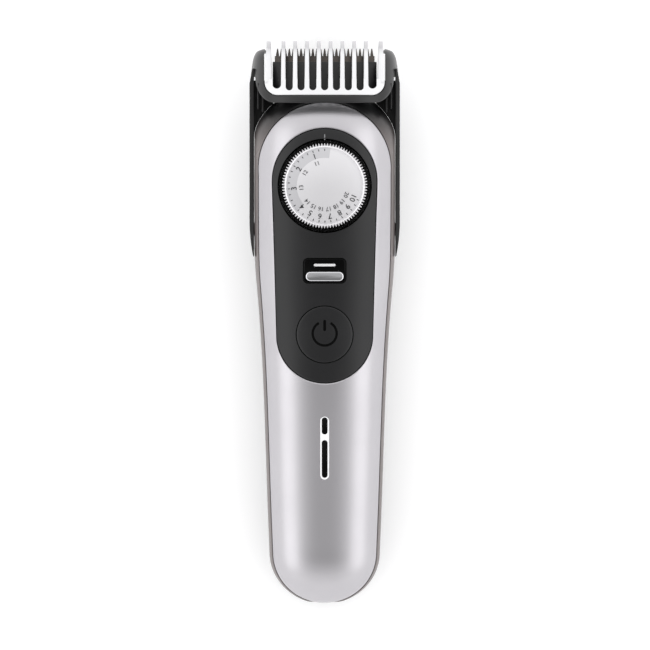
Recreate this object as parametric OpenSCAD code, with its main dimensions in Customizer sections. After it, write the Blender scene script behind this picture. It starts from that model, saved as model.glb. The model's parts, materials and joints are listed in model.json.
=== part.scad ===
// Cordless beard trimmer with a dial-driven length comb.
// The trimmer lies on its back: X is its width, +Y runs towards the comb and
// +Z points out of the control face. Lengths are millimetres. Every section
// is placed by its station, the distance from the tail end along the body.

/* [Body] */
// length from the tail end to the tips of the comb
overall_l = 169.7; // [169.2:0.1:171]
// width of the body at its widest station
body_w = 43; // [42.8:0.1:43.2]
// width of the grip just above the tail
tail_w = 33.2; // [32.4:0.2:34]
// length of the rounded tail
tail_l = 15.5; // [14:0.5:17]
// height of the widest plane above the ground
waist_z = 15; // [14.8:0.1:15.2]
// wall thickness of the case at the waist
wall = 1.8; // [1.6:0.1:2]

/* [Control face] */
// station of the dial axis
dial_y = 125.8; // [125.4:0.1:126.2]
// radius of the dial over its serrations
dial_r = 12.7; // [12.2:0.1:12.8]
// number of serrations around the dial
serrations = 90; // [60:2:100]
// station of the lock switch window
lock_y = 100.4; // [100:0.1:100.8]
// station of the power button
button_y = 81.3; // [81:0.1:81.6]
// radius of the power button
button_r = 8.5; // [8:0.1:8.6]
// station of the middle of the charge indicator
indicator_y = 47; // [46:0.5:48]

/* [Comb] */
// number of tines on the comb
tine_count = 10; // [8:2:10]
// width of one inner tine
tine_w = 1.3; // [1.1:0.05:1.5]
// depth of a tine under its outer edge
tine_depth = 3; // [2.4:0.1:3.2]
// wall of the comb hood
hood_wall = 1.4; // [1.2:0.1:1.5]

/* [Cutting head] */
// width of the fixed blade
blade_w = 30; // [29:0.5:30]
// distance between two blade teeth
tooth_pitch = 1.18; // [1.1:0.02:1.3]
// tilt of the blades, tips down
blade_tilt = 20; // [19:0.5:21]

/* [Detail] */
// sides of a full circle
circle_sides = 96; // [48:12:120]

/* [Hidden] */

$fn = circle_sides;
tiny = 0.01;
seam = 0.15;

body_end = 156.5;
case_end = 150.7;
shoulder_r = 23.1;
shoulder_y = 133.35;
crown_h = 19.5;
belly_h = 14.4;
cover_margin = 1.1;
cover_top_r = 19.9;
cover_top_y = 130.8;
back_split_z = waist_z - 6;

panel_top_r = 15.6;
panel_top_y = dial_y + 1.3;
panel_end_r = 14.4;
panel_end_y = button_y - 0.3;
panel_t = 3.4;
well_r = dial_r + 1.4;
well_z = 31.4;
dial_top_z = 37.4;

lug_y = 111;
lug_l = 4;
dial_turn = 247;
pinion_r = 2.2;
pinion_teeth = 11;
comb_travel = pinion_r * dial_turn * PI / 180;
lock_travel = 3.4;
carriage_z = 21.5;
carriage_t = 2.3;

arm_in = 21.25;
arm_out = 22.6;
arm_y = 104.5;
hood_z = 33.9;
hood_y = 150.4;
hood_end = 167;
hood_side_z = 10;
plate_half = 18;
plate_y = 152.8;
tine_gap = 3.54;

motor_z = 12;
cam_throw = 1.1;
cam_pin_r = 0.9;
blade_tip_y = 166.8;
blade_tip_z = 18.5;
board_z = 22.4;
board_t = 1.6;

silver = [0.82, 0.81, 0.83];
taupe = [0.60, 0.56, 0.57];
charcoal = [0.20, 0.20, 0.21];
black = [0.06, 0.06, 0.07];
white = [0.93, 0.93, 0.94];
steel = [0.66, 0.66, 0.68];
brass_tone = [0.80, 0.66, 0.36];
board_green = [0.10, 0.33, 0.20];

// ---------- shared rules ----------

// puts a sub-part drawn at its stations into the frame of the whole trimmer
module seat() {
  translate([0, -overall_l / 2, 0]) children();
}

// smaller of two lengths, with the corner between them rounded off
function soft_min(a, b, p = 30) =
  pow(pow(max(a, tiny), -p) + pow(max(b, tiny), -p), -1 / p);

// index of the key span that holds station s
function span_of(keys, s, i = 0) =
  (i >= len(keys) - 2 || s < keys[i + 1][0]) ? i : span_of(keys, s, i + 1);

// slope of a key list at key i
function key_slope(keys, i) =
  let (a = max(i - 1, 0), b = min(i + 1, len(keys) - 1))
  (keys[b][1] - keys[a][1]) / (keys[b][0] - keys[a][0]);

// smooth curve through a short list of [station, value] keys
function curve(keys, s) =
  let (
    i = span_of(keys, s),
    h = keys[i + 1][0] - keys[i][0],
    t = min(max((s - keys[i][0]) / h, 0), 1),
    m0 = key_slope(keys, i) * h,
    m1 = key_slope(keys, i + 1) * h
  )
  (2 * t * t * t - 3 * t * t + 1) * keys[i][1] + (t * t * t - 2 * t * t + t) * m0
    + (3 * t * t - 2 * t * t * t) * keys[i + 1][1] + (t * t * t - t * t) * m1;

// height of a superellipse quadrant at a fraction u of its width
function bulge(u, n) = pow(max(1 - pow(min(abs(u), 1), n), 0), 1 / n);

// ---------- body form ----------

side_keys = [
  [tail_l, tail_w / 2], [32, 17.25], [50, 17.85], [67, 18.5], [80, 19.2],
  [92, 20.1], [99, 20.75], [107, 21.2], [118, 21.45], [130, body_w / 2],
  [160, body_w / 2]
];
crown_keys = [
  [tail_l, 14.3], [40, 15], [60, 15.6], [80, 16.7], [100, 18.1], [126, crown_h],
  [160, crown_h]
];
belly_keys = [[tail_l, 14.2], [25, belly_h], [110, belly_h], [135, 13.2], [160, 11.5]];

function tail_share(s) = s < tail_l ? bulge((tail_l - s) / tail_l, 2) : 1;
function shoulder_half(s) =
  shoulder_r * bulge(max(s - shoulder_y, 0) / shoulder_r, 2);
function body_half(s) =
  s < tail_l ? tail_w / 2 * tail_share(s)
             : soft_min(curve(side_keys, s), shoulder_half(s));
function head_share(s, start, n) = bulge(max(s - start, 0) / (body_end - start), n);
function crown(s) =
  (s < tail_l ? crown_keys[0][1] * tail_share(s) : curve(crown_keys, s))
    * head_share(s, shoulder_y, 2.3);
function belly(s) =
  (s < tail_l ? belly_keys[0][1] * tail_share(s) : curve(belly_keys, s))
    * head_share(s, shoulder_y - 3, 2.3);

// height of the front surface at x and station s
function front_z(x, s) = waist_z + crown(s) * bulge(x / body_half(s), 2.4);

// height of the back surface at x and station s
function back_z(x, s) = waist_z - belly(s) * bulge(x / body_half(s), 3.2);

// point part of the way from a to b
function mix(a, b, t) = a + (b - a) * t;

// plan point pulled towards a centre until the back surface there is h below the waist
function pull_in(p, c, h, lo = 0, hi = 0.6, n = 16) =
  n == 0 ? mix(p, c, lo)
         : let (t = (lo + hi) / 2, q = mix(p, c, t))
           (waist_z - back_z(q[0], q[1]) < h)
             ? pull_in(p, c, h, t, hi, n - 1)
             : pull_in(p, c, h, lo, t, n - 1);

// plan point moved a length d towards a centre
function step_in(p, c, d) = p + (c - p) * (d / max(norm(c - p), 1));

// closed solid between two grids of points, whose columns run against the
// clock when its rows run outwards; a wrapped one joins its last column to its
// first
module slab(top, bottom, wrap = false) {
  rows = len(top);
  cols = len(top[0]);
  n = rows * cols;
  last = wrap ? cols - 1 : cols - 2;
  polyhedron(
    points = concat([for (r = top) each r], [for (r = bottom) each r]),
    faces = concat(
      [for (i = [0 : rows - 2], j = [0 : last])
        let (a = i * cols + j, b = i * cols + (j + 1) % cols)
        each [[a, b, b + cols], [a, b + cols, a + cols]]],
      [for (i = [0 : rows - 2], j = [0 : last])
        let (a = n + i * cols + j, b = n + i * cols + (j + 1) % cols)
        each [[a, b + cols, b], [a, a + cols, b + cols]]],
      [for (j = [0 : last])
        let (a = j, b = (j + 1) % cols)
        each [[a, a + n, b + n], [a, b + n, b]]],
      [for (j = [0 : last])
        let (a = (rows - 1) * cols + j, b = (rows - 1) * cols + (j + 1) % cols)
        each [[a, b, b + n], [a, b + n, a + n]]],
      wrap ? [] : [for (i = [0 : rows - 2])
        let (a = i * cols, b = a + cols)
        each [[a, b, b + n], [a, b + n, a + n]]],
      wrap ? [] : [for (i = [0 : rows - 2])
        let (a = i * cols + cols - 1, b = a + cols)
        each [[a, a + n, b + n], [a, b + n, b]]]
    )
  );
}

// solid swept through a row of closed sections with equal numbers of points
module sweep(rings) {
  n = len(rings[0]);
  m = len(rings);
  polyhedron(
    points = [for (r = rings) each r],
    faces = concat(
      [for (j = [1 : n - 2]) [0, j, j + 1]],
      [for (i = [0 : m - 2], j = [0 : n - 1])
        let (a = i * n + j, b = i * n + (j + 1) % n)
        each [[a, a + n, b + n], [a, b + n, b]]],
      [for (j = [1 : n - 2]) let (z = (m - 1) * n) [z, z + j + 1, z + j]]
    )
  );
}

// ---------- outlines on the control face ----------

// half width of the silver cover along its sides
function cover_half(s) = soft_min(body_half(s) - cover_margin, cover_top_r * 1.02);

// closed outline of the silver cover, from its right shoulder round the top
cover_loop = concat(
  [for (a = [0 : 9 : 180]) [cover_top_r * cos(a), cover_top_y + cover_top_r * sin(a)]],
  [for (s = [122 : -9 : 23]) [-cover_half(s), s]],
  [for (a = [180 : 12 : 360]) [(tail_w / 2 - cover_margin) * cos(a), tail_l + (tail_l - 0.4) * sin(a)]],
  [for (s = [23 : 9 : 122]) [cover_half(s), s]]
);

// matching outline of the control panel, grown all round
function panel_loop(grow) =
  let (r = panel_top_r + grow, q = panel_end_r + grow, n = 12)
  concat(
    [for (a = [0 : 9 : 180]) [r * cos(a), panel_top_y + r * sin(a)]],
    [for (i = [1 : n]) [-mix(r, q, i / (n + 1)), mix(panel_top_y, panel_end_y, i / (n + 1))]],
    [for (a = [180 : 12 : 360]) [q * cos(a), panel_end_y + q * sin(a)]],
    [for (i = [n : -1 : 1]) [mix(r, q, i / (n + 1)), mix(panel_top_y, panel_end_y, i / (n + 1))]]
  );

// rounded slot outline standing along the body
module slot_outline(r, y0, y1) {
  hull() {
    translate([0, y0 + r]) circle(r);
    translate([0, y1 - r]) circle(r);
  }
}

module rounded_rect(w, h, r) {
  hull() {
    for (x = [-1, 1], y = [-1, 1]) {
      translate([x * (w / 2 - r), y * (h / 2 - r)]) circle(r, $fn = 32);
    }
  }
}

// ---------- case ----------

module front_cover() {
  steps = 10;
  inner = panel_loop(seam);
  rows = [for (k = [0 : steps])
    let (t = 1 - pow(1 - k / steps, 1.7))
    [for (i = [0 : len(inner) - 1]) mix(inner[i], cover_loop[i], t)]
  ];
  color(silver) seat() difference() {
    slab(
      [for (r = rows) [for (p = r) [p[0], p[1], front_z(p[0], p[1])]]],
      [for (r = rows) [for (p = r) [p[0], p[1], front_z(p[0], p[1]) - wall]]],
      wrap = true
    );
    translate([0, indicator_y, 20]) linear_extrude(20) rounded_rect(2.8, 19, 1.39);
  }
}

// right half of the waist outline with the centre it is measured from and the
// matching point on the edge of the silver cover
waist_path = concat(
  [for (b = [90 - asin((case_end - shoulder_y) / shoulder_r) : 5.8 : 88])
    let (s = shoulder_y + shoulder_r * cos(b), share = (s - shoulder_y) / (case_end - shoulder_y))
    [[body_half(s), s], [0, shoulder_y],
      [0, cover_top_y] + (cover_top_r + seam) * [cos(81 * share), sin(81 * share)]]],
  [for (s = [128 : -8 : 24]) [[body_half(s), s], [0, s], [cover_half(s) + seam, s]]],
  [for (a = [0 : -10 : -89])
    [[tail_w / 2 * cos(a), tail_l + tail_l * sin(a)], [0, tail_l],
      [(tail_w / 2 - cover_margin + seam) * cos(a), tail_l + (tail_l - 0.4 + seam) * sin(a)]]]
);

// section of the side frame at one place on the waist outline
function frame_ring(w) =
  let (
    p = w[0], c = w[1], q = w[2],
    low = pull_in(p, c, waist_z - back_split_z - seam),
    inner = step_in(p, c, wall),
    low_in = step_in(low, c, wall),
    mid = mix(p, low, 0.3)
  )
  concat(
    [[low[0], low[1], back_split_z + seam], [mid[0], mid[1], mix(waist_z, back_split_z, 0.55)],
      [p[0], p[1], waist_z]],
    [for (t = [0.03, 0.15, 0.38, 0.68, 1])
      let (e = mix(p, q, t)) [e[0], e[1], front_z(e[0], e[1])]],
    [for (t = [1, 0.6])
      let (e = mix(p, q, t))
      [e[0], e[1], max(front_z(e[0], e[1]) - wall, waist_z + 1)]],
    [[inner[0], inner[1], waist_z + 0.6], [inner[0], inner[1], waist_z - 1],
      [low_in[0], low_in[1], back_split_z + seam]]
  );

function mirror_x(ring) = [for (p = ring) [-p[0], p[1], p[2]]];

module side_frame() {
  right = [for (w = waist_path) frame_ring(w)];
  n = len(right);
  color(taupe) seat() difference() {
    sweep(concat(right, [for (i = [n - 1 : -1 : 0]) mirror_x(right[i])]));
    // channels for the comb arms and slots for the carriage lugs
    for (side = [-1, 1]) {
      translate([side * 26.1, 133, waist_z]) cube([10, 60, 9.6], center = true);
      translate([side * 21, lug_y + (lug_l + comb_travel) / 2, waist_z])
        cube([9, lug_l + comb_travel + 0.8, 2.2], center = true);
    }
    // charging opening in the tail
    translate([0, 8, waist_z]) rotate([90, 0, 0]) linear_extrude(20)
      rounded_rect(11, 6.6, 3.29);
  }
}

module screw_places() {
  for (x = [-8.3, 8.3], y = [24, 116]) translate([x, y, 0]) children();
}

module back_cover() {
  depth = waist_z - back_split_z;
  first = 1.7;
  stations = concat([first, 3, 5, 8, 12, 17], [for (s = [25 : 10 : 125]) s],
    [131, 136, 140, 144, 147.5, case_end]);
  fans = [for (a = [90 : -15 : -90]) sin(a)];
  rim = function (s) body_half(s) * bulge(depth / max(belly(s), depth + tiny), 3.2);
  outer = [for (s = stations) [for (f = fans)
    let (x = f * rim(s)) [x, s, min(back_z(x, s), back_split_z)]]];
  inner = [for (s = stations) [for (f = fans)
    let (
      back = s + wall * (1 - (s - first) / (case_end - first)),
      x = f * max(rim(s) - wall, 1),
      z = waist_z - (belly(back) - wall) * bulge(x / (body_half(back) - wall), 3.2),
      edge = s == first || abs(f) == 1
    )
    [x, back, edge ? back_split_z : min(z, back_split_z - tiny)]]];
  color(charcoal) seat() difference() {
    slab(inner, outer);
    translate([0, 0, -1]) linear_extrude(2.45) slot_outline(9.6, 39.9, 110.1);
    screw_places() cylinder(h = 8, r = 1.3, center = true, $fn = 48);
    screw_places() translate([0, 0, -1]) cylinder(h = 3.4, r = 2.5, $fn = 48);
  }
}

module back_grip() {
  color(black) seat() linear_extrude(1.45) slot_outline(9.5, 40, 110);
}

module case_screws() {
  color(steel) seat() screw_places() difference() {
    union() {
      translate([0, 0, 1.5]) cylinder(h = 0.87, r = 2.3);
      translate([0, 0, 2.3]) cylinder(h = 6.2, r = 1.1);
    }
    translate([0, 0, 1.4]) cylinder(h = 0.7, r = 0.9, $fn = 6);
  }
}

// sealing cord between the case and the cutting head
module seal_ring() {
  color(black) seat() translate([0, case_end + 0.05, waist_z - 0.5])
    rotate([-90, 0, 0]) linear_extrude(0.8) difference() {
      rounded_rect(22, 14, 5);
      rounded_rect(20.4, 12.4, 4.2);
    }
}

// ---------- control face ----------

module control_panel() {
  ends = [80, 64, 48, 32, 16];
  rows = concat(
    [for (a = ends) [panel_end_r * cos(a), panel_end_y - panel_end_r * sin(a)]],
    [for (t = [0 : 1 / 7 : 1.01]) [mix(panel_end_r, panel_top_r, t), mix(panel_end_y, panel_top_y, t)]],
    [for (i = [4 : -1 : 0]) [panel_top_r * cos(ends[i]), panel_top_y + panel_top_r * sin(ends[i])]]
  );
  fans = [for (a = [90 : -18 : -90]) sin(a)];
  plan = [for (r = rows) [for (f = fans) [r[0] * f, r[1]]]];
  color(charcoal) seat() difference() {
    slab(
      [for (r = plan) [for (p = r) [p[0], p[1], front_z(p[0], p[1])]]],
      [for (r = plan) [for (p = r) [p[0], p[1], front_z(p[0], p[1]) - panel_t]]]
    );
    translate([0, dial_y, 20]) cylinder(h = 30, r = well_r + 0.05);
    translate([0, lock_y, 20]) linear_extrude(30) rounded_rect(13.1, 7.7, 1.55);
    translate([0, button_y, 20]) cylinder(h = 30, r = button_r + 0.2);
  }
}

module dial_well() {
  color(black) seat() translate([0, dial_y, 0]) difference() {
    translate([0, 0, well_z - 2.2]) cylinder(h = 2.2, r = well_r);
    translate([0, 0, well_z - 3]) cylinder(h = 5, r = 5.22);
  }
}

module dial_bush() {
  color(brass_tone) seat() translate([0, dial_y, 0]) difference() {
    union() {
      translate([0, 0, 27.4]) cylinder(h = well_z - 27.4, r = 5.2);
      translate([0, 0, 27.4]) cylinder(h = 1.7, r = 6.4);
    }
    translate([0, 0, 26]) cylinder(h = 8, r = 3.05);
  }
}

module length_dial() {
  step = 360 / serrations;
  grip = [for (i = [0 : 2 * serrations - 1])
    let (r = i % 2 == 0 ? dial_r : dial_r - 0.62, a = i * step / 2)
    [r * sin(a), r * cos(a)]
  ];
  color(white) seat() translate([0, dial_y, 0]) difference() {
    union() {
      translate([0, 0, well_z + 0.25]) linear_extrude(dial_top_z - well_z - 0.5)
        polygon(grip);
      translate([0, 0, dial_top_z - 0.3]) cylinder(h = 0.3, r = dial_r - 0.75);
      translate([0, 0, dial_top_z]) cylinder(h = 0.35, r1 = 11.5, r2 = 9);
    }
    translate([0, 0, well_z]) cylinder(h = 4.2, r = 3);
    translate([0, 0, well_z - 1]) difference() {
      cylinder(h = 4.4, r = 11.2);
      cylinder(h = 4.4, r = 5);
    }
  }
}

module dial_shaft() {
  color(steel) seat() translate([0, dial_y, 0]) {
    translate([0, 0, 24.6]) cylinder(h = well_z + 4.2 - 24.6, r = 3);
    translate([0, 0, 20.6]) cylinder(h = 4, r = 1.2);
  }
}

module dial_pinion() {
  step = 360 / pinion_teeth;
  root = pinion_r - 0.46;
  tip = pinion_r + 0.36;
  teeth = [for (i = [0 : pinion_teeth - 1], p = [[-0.34, root], [-0.12, tip], [0.12, tip], [0.34, root]])
    let (a = (i + 0.5) * step + p[0] * step)
    [-p[1] * cos(a), p[1] * sin(a)]
  ];
  color(white) seat() translate([0, dial_y, carriage_z - 0.2]) difference() {
    linear_extrude(2.9) polygon(teeth);
    translate([0, 0, -1]) cylinder(h = 5, r = 1.2);
  }
}

// leaf that clicks against the underside of the dial
module detent_spring() {
  color(steel) seat() translate([0, dial_y, well_z]) {
    translate([-5, -9.4, 0]) cube([10, 2.2, 0.3]);
    translate([-1, -9.4, 0.3]) cube([2, 2.2, 1.1]);
  }
}

module comb_carriage() {
  mid = dial_y - comb_travel;
  slot_x = pinion_r + 0.5;
  pitch = 2 * PI * pinion_r / pinion_teeth;
  color(white) seat() {
    translate([0, 0, carriage_z]) linear_extrude(carriage_t) difference() {
      union() {
        translate([-8.4, lug_y - 2]) square([16.8, dial_y + 7 - lug_y + 2]);
        translate([-17, lug_y]) square([34, lug_l]);
      }
      // window around the pinion, toothed on one side only
      difference() {
        translate([-slot_x - 0.15, mid - 3.2]) square([2 * slot_x + 1, comb_travel + 6.4]);
        for (i = [-1 : floor(comb_travel / pitch) + 1]) {
          translate([-slot_x - 0.15, dial_y - i * pitch])
            polygon([[-1, -0.46], [0, -0.46], [0.8, -0.14], [0.8, 0.14], [0, 0.46], [-1, 0.46]]);
        }
      }
    }
    for (side = [-1, 1]) {
      translate([side * 16.3, lug_y + lug_l / 2, (carriage_z + carriage_t + 14.2) / 2])
        cube([1.4, lug_l, carriage_z + carriage_t - 14.2], center = true);
      translate([side * 18.8, lug_y + lug_l / 2, waist_z])
        cube([6.3, lug_l, 1.6], center = true);
    }
  }
}

module carriage_rails() {
  color(black) seat() {
    for (side = [-1, 1]) {
      translate([side * 8, 125, carriage_z - 0.73]) cube([2.4, 42, 1.3], center = true);
      translate([side * 9.1, 136, carriage_z + 0.42]) cube([1.2, 18, 3.6], center = true);
    }
  }
}

module lock_window() {
  color(black) seat() translate([0, lock_y, 0]) difference() {
    translate([0, 0, 29.9]) linear_extrude(2.5) rounded_rect(13, 7.6, 1.5);
    translate([0, 0, 31.2]) linear_extrude(3) rounded_rect(12.2, 6.8, 1.1);
    translate([-2.1, -2.6, 29]) cube([4.2, 1.8 + lock_travel, 4]);
  }
}

module lock_slider() {
  color(silver) seat() translate([0, lock_y - 1.7, 0]) {
    intersection() {
      translate([0, 0, 31.35]) linear_extrude(2.4) rounded_rect(11.4, 2.9, 1.44);
      translate([0, 0, 31.35 - 15.2]) rotate([0, 90, 0])
        cylinder(h = 30, r = 17.3, center = true, $fn = 180);
    }
    translate([-1.9, -0.7, 25.6]) cube([3.8, 1.4, 5.8]);
  }
}

module slide_switch() {
  color(steel) seat() translate([0, lock_y, 0]) difference() {
    translate([-4, -4, board_z + board_t]) cube([8, 7.6, 3.2]);
    translate([-2.1, -2.7, board_z + board_t + 1.2]) cube([4.2, 2 + lock_travel, 3]);
  }
}

// round key that follows the curve of the front surface
module power_button() {
  turns = [for (a = [0 : 7.5 : 352.5]) [cos(a), sin(a)]];
  rows = [for (r = [0.05, 0.35, 0.62, 0.84, 1]) [for (t = turns)
    [0, button_y] + button_r * r * t]];
  color(charcoal) seat() {
    slab(
      [for (r = rows) [for (p = r) [p[0], p[1], front_z(p[0], p[1])]]],
      [for (r = rows) [for (p = r) [p[0], p[1], 29.6]]],
      wrap = true
    );
    translate([0, button_y, 29.6]) cylinder(h = front_z(0, button_y) - 29.62, r = 0.6);
  }
}

module button_plunger() {
  color(charcoal) seat() translate([0, button_y, 28.05]) cylinder(h = 1.55, r = 2);
}

module tact_switch() {
  color(steel) seat() translate([0, button_y, board_z + board_t]) {
    translate([-3, -3, 0]) cube([6, 6, 2.4]);
    cylinder(h = 3.2, r = 1.7);
  }
}

module indicator_bezel() {
  color(silver) seat() translate([0, indicator_y, 0]) difference() {
    translate([0, 0, 27.4]) linear_extrude(3.1) rounded_rect(2.7, 18.9, 1.34);
    for (m = [[6.6, 4.9], [-3.3, 11.1]]) {
      translate([0, m[0], 26]) linear_extrude(6) rounded_rect(1.75, m[1], 0.87);
    }
  }
}

module lens(offset_y, l) {
  color(black) seat() translate([0, indicator_y + offset_y, 26.2]) linear_extrude(4.1)
    rounded_rect(1.65, l - 0.1, 0.82);
}

module lens_upper() {
  lens(6.6, 4.9);
}

module lens_lower() {
  lens(-3.3, 11.1);
}

module indicator_leds() {
  color(white) seat() {
    for (y = [6.6, 0, -3.3, -6.6]) {
      translate([-0.8, indicator_y + y - 0.5, board_z + board_t]) cube([1.6, 1, 0.8]);
    }
  }
}

// ---------- comb ----------

hood_half_keys = [
  [144, arm_out], [155, arm_out], [159, 22.25], [162, 21.85], [164.2, 21.45],
  [165.5, 20.9], [166.4, 20.1], [hood_end, 18.4]
];

function hood_half(s) = curve(hood_half_keys, s);
function hood_top(s) = hood_z - 0.03 * pow(s - 149, 2);

// height of the hood's outer surface at x and station s
function hood_surface(x, s) =
  hood_side_z + (hood_top(s) - hood_side_z) * bulge(x / hood_half(s), 2.8);

// right half of the hood seen from the front: pairs of a point on the edge of
// the tine plate and the matching point on the outer edge
hood_path = concat(
  [for (x = [0 : 4 : 12]) [[x, plate_y - 0.15], [x, hood_y + 0.0004 * x * x]]],
  [for (a = [0 : 15 : 90])
    [[plate_half - 3.85 + 4 * sin(a), plate_y + 3.85 - 4 * cos(a)],
      [14.9 + 5.9 * sin(a), hood_y + 7.8 - 7.7 * cos(a)]]],
  [[[plate_half + 0.15, 158.3], [21.5, 158.6]]],
  [for (s = [159.2, 160.5, 162, 163.5, 164.8, 165.8, 166.5, hood_end])
    [[min(plate_half + 0.15, hood_half(s) - 0.1), s], [hood_half(s), s]]]
);

// rows of hood points, from the tine plate out; d is the depth below the skin
function hood_rows(path, d) =
  [for (k = [0 : 7])
    [for (w = path)
      let (
        g = k / 7,
        p = mix(w[0], w[1], sin(90 * g)),
        up = hood_top(p[1]) - hood_side_z,
        z = hood_surface(p[0], p[1]),
        bend = max(p[1] - 162, 0) / (hood_end - 162)
      )
      [
        p[0] * (1 - d * g / hood_half(p[1])),
        p[1] - 0.8 * d * bend * g,
        hood_side_z + (z - hood_side_z) * (up - d) / up
      ]
    ]
  ];

module comb_arm(side) {
  inner = side * arm_in;
  outer = [for (s = [arm_y : 3 : 116.5]) [side * (arm_out - 0.009 * pow(max(115.5 - s, 0), 2)), s]];
  difference() {
    translate([0, 0, waist_z - 4.5]) linear_extrude(9) polygon(concat(
      [[inner, 161], [inner, arm_y]],
      outer,
      [[side * arm_out, 156.5], [side * 21.8, 161]]
    ));
    // groove for the carriage lug, open at the end of the arm
    translate([inner - (side > 0 ? 1.5 : 0.8), arm_y - 2, waist_z - 1])
      cube([2.3, lug_y + lug_l + 0.3 - arm_y + 2, 2]);
  }
}

module comb_hood() {
  n = len(hood_path);
  left = [for (i = [n - 1 : -1 : 1])
    [for (p = hood_path[i]) [-p[0], p[1]]]];
  path = concat(left, hood_path);
  color(charcoal) seat() {
    slab(hood_rows(path, 0), hood_rows(path, hood_wall));
    for (side = [-1, 1]) comb_arm(side);
  }
}

// side profile of one tine, from its thin root to its rounded tip
tine_end = overall_l;
tine_profile = concat(
  [[plate_y + 0.9, hood_top(154) - 0.5], [154.4, hood_top(154) - 0.5]],
  [for (s = [155 : 1.7 : 166.4]) [s, hood_top(s)]],
  [for (a = [50 : -22 : -60]) [
    tine_end - 2.2 + 2.2 * cos(a),
    hood_top(tine_end - 2.2) - 2.2 + 2.2 * sin(a)
  ]],
  [for (s = [165.4 : -2.4 : 155]) [s, hood_top(s) - tine_depth]],
  [[154.4, hood_top(154) - 1.1], [plate_y + 0.9, hood_top(154) - 1.1]]
);

// drop of the hood surface away from its middle line
function hood_drop(x) =
  (hood_top(160) - hood_side_z) * (1 - bulge(x / hood_half(160), 2.8));

module tine(x, w) {
  translate([x - w / 2, 0, -hood_drop(x)]) rotate([90, 0, 90]) linear_extrude(w)
    polygon(tine_profile);
}

module comb_tines() {
  half = tine_count / 2;
  strip = [for (d = [0.15, 0.5, 1.1, 1.9])
    let (w = plate_half - 4 + sqrt(16 - pow(4 - d, 2)))
    [for (t = [9 : -1 : -9]) [w * t / 9, plate_y + d]]];
  color(white) seat() {
    for (side = [-1, 1], i = [0 : half - 2]) tine(side * tine_gap * (i + 0.5), tine_w);
    for (side = [-1, 1]) tine(side * (plate_half - 1.15), 2.1);
    slab(
      [for (r = strip) [for (p = r) [p[0], p[1], hood_surface(p[0], p[1])]]],
      [for (r = strip) [for (p = r) [p[0], p[1], hood_surface(p[0], p[1]) - hood_wall]]]
    );
  }
}

// ---------- cutting head ----------

// height of the plane under the fixed blade at station s
function blade_plane(s) = blade_tip_z + (blade_tip_y - s) * tan(blade_tilt);

module head_prism(w, side_profile) {
  translate([-w / 2, 0, 0]) rotate([90, 0, 90]) linear_extrude(w) polygon(side_profile);
}

module head_cover() {
  y0 = case_end + 0.1;
  color(charcoal) seat() difference() {
    head_prism(blade_w + 0.8, [
      [y0, blade_plane(y0) + 1.45], [162.9, blade_plane(162.9) + 1.45],
      [163, blade_plane(163) + 2.6], [161.2, 24.2], [156, 27.3], [y0, 28.9]
    ]);
    for (side = [-1, 1]) translate([side * (blade_w / 2 + 2.6), y0, 20]) rotate([0, 0, side * 38])
      cube([6, 12, 30], center = true);
    translate([-6.5, y0 - 1, 20]) cube([13, 4.3, 6.6]);
  }
}

module head_base() {
  y0 = case_end + 0.1;
  color(charcoal) seat() difference() {
    head_prism(blade_w, [
      [y0, 7], [157, 9], [162.4, 14.4], [163.4, 16.4], [163.4, blade_plane(163.4) - 0.02],
      [155, blade_plane(155) - 0.02], [154.6, 20], [y0, 20]
    ]);
    translate([-6.5, y0 - 1, 7.9]) cube([13, 5, 20]);
    translate([0, y0 - 0.1, waist_z - 0.5]) rotate([-90, 0, 0]) linear_extrude(1)
      rounded_rect(22.2, 14.2, 5);
  }
}

// puts a flat blade drawn with its tips on the X axis into the tilted plane
module on_blade_plane(lift) {
  translate([0, blade_tip_y, blade_tip_z]) rotate([-blade_tilt, 0, 0])
    translate([0, 0, lift]) children();
}

module toothed_plate(w, l, t, teeth, depth) {
  n = floor(teeth / 2);
  tips = [for (i = [-n : n], p = [[-0.42, -depth], [-0.12, 0], [0.12, 0], [0.42, -depth]])
    [(i + p[0]) * tooth_pitch, p[1]]
  ];
  linear_extrude(t) polygon(concat([[-w / 2, -l], [-w / 2, -depth]], tips,
    [[w / 2, -depth], [w / 2, -l]]));
}

module fixed_blade() {
  teeth = floor(blade_w / tooth_pitch) - 1;
  color(steel) seat() on_blade_plane(0)
    toothed_plate(blade_w, 12, 0.6, teeth, 2.4);
}

module moving_blade() {
  teeth = floor((blade_w - 3) / tooth_pitch) - 1;
  color(steel) seat() on_blade_plane(0.65) {
    translate([0, -1.3, 0]) toothed_plate(blade_w - 3.4, 8.4, 0.45, teeth, 1.5);
    translate([-4, -15.6, 0]) cube([8, 7, 0.45]);
  }
}

// two leaves that hold the moving blade down
module blade_spring() {
  color(steel) seat() on_blade_plane(1.12) {
    for (side = [-1, 1]) translate([side * 9 - 2.5, -9.4, 0]) cube([5, 4, 0.14]);
  }
}

module drive_yoke() {
  color(white) seat() difference() {
    translate([-4.4, 151.9, 8.1]) cube([8.8, 2, 15.7]);
    translate([-3.2, 151, motor_z - 2.2]) cube([6.4, 4, 4.4]);
  }
}

// ---------- drive ----------

module motor_can() {
  color(steel) seat() translate([0, 112, motor_z]) rotate([-90, 0, 0]) difference() {
    cylinder(h = 24, r = 7.4);
    translate([0, 0, 22]) cylinder(h = 3, r = 1.05);
    translate([0, 0, -1]) cylinder(h = 1.6, r = 4);
  }
}

module motor_shaft() {
  color(steel) seat() translate([0, 134.2, motor_z]) rotate([-90, 0, 0])
    cylinder(h = 12, r = 1);
}

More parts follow.
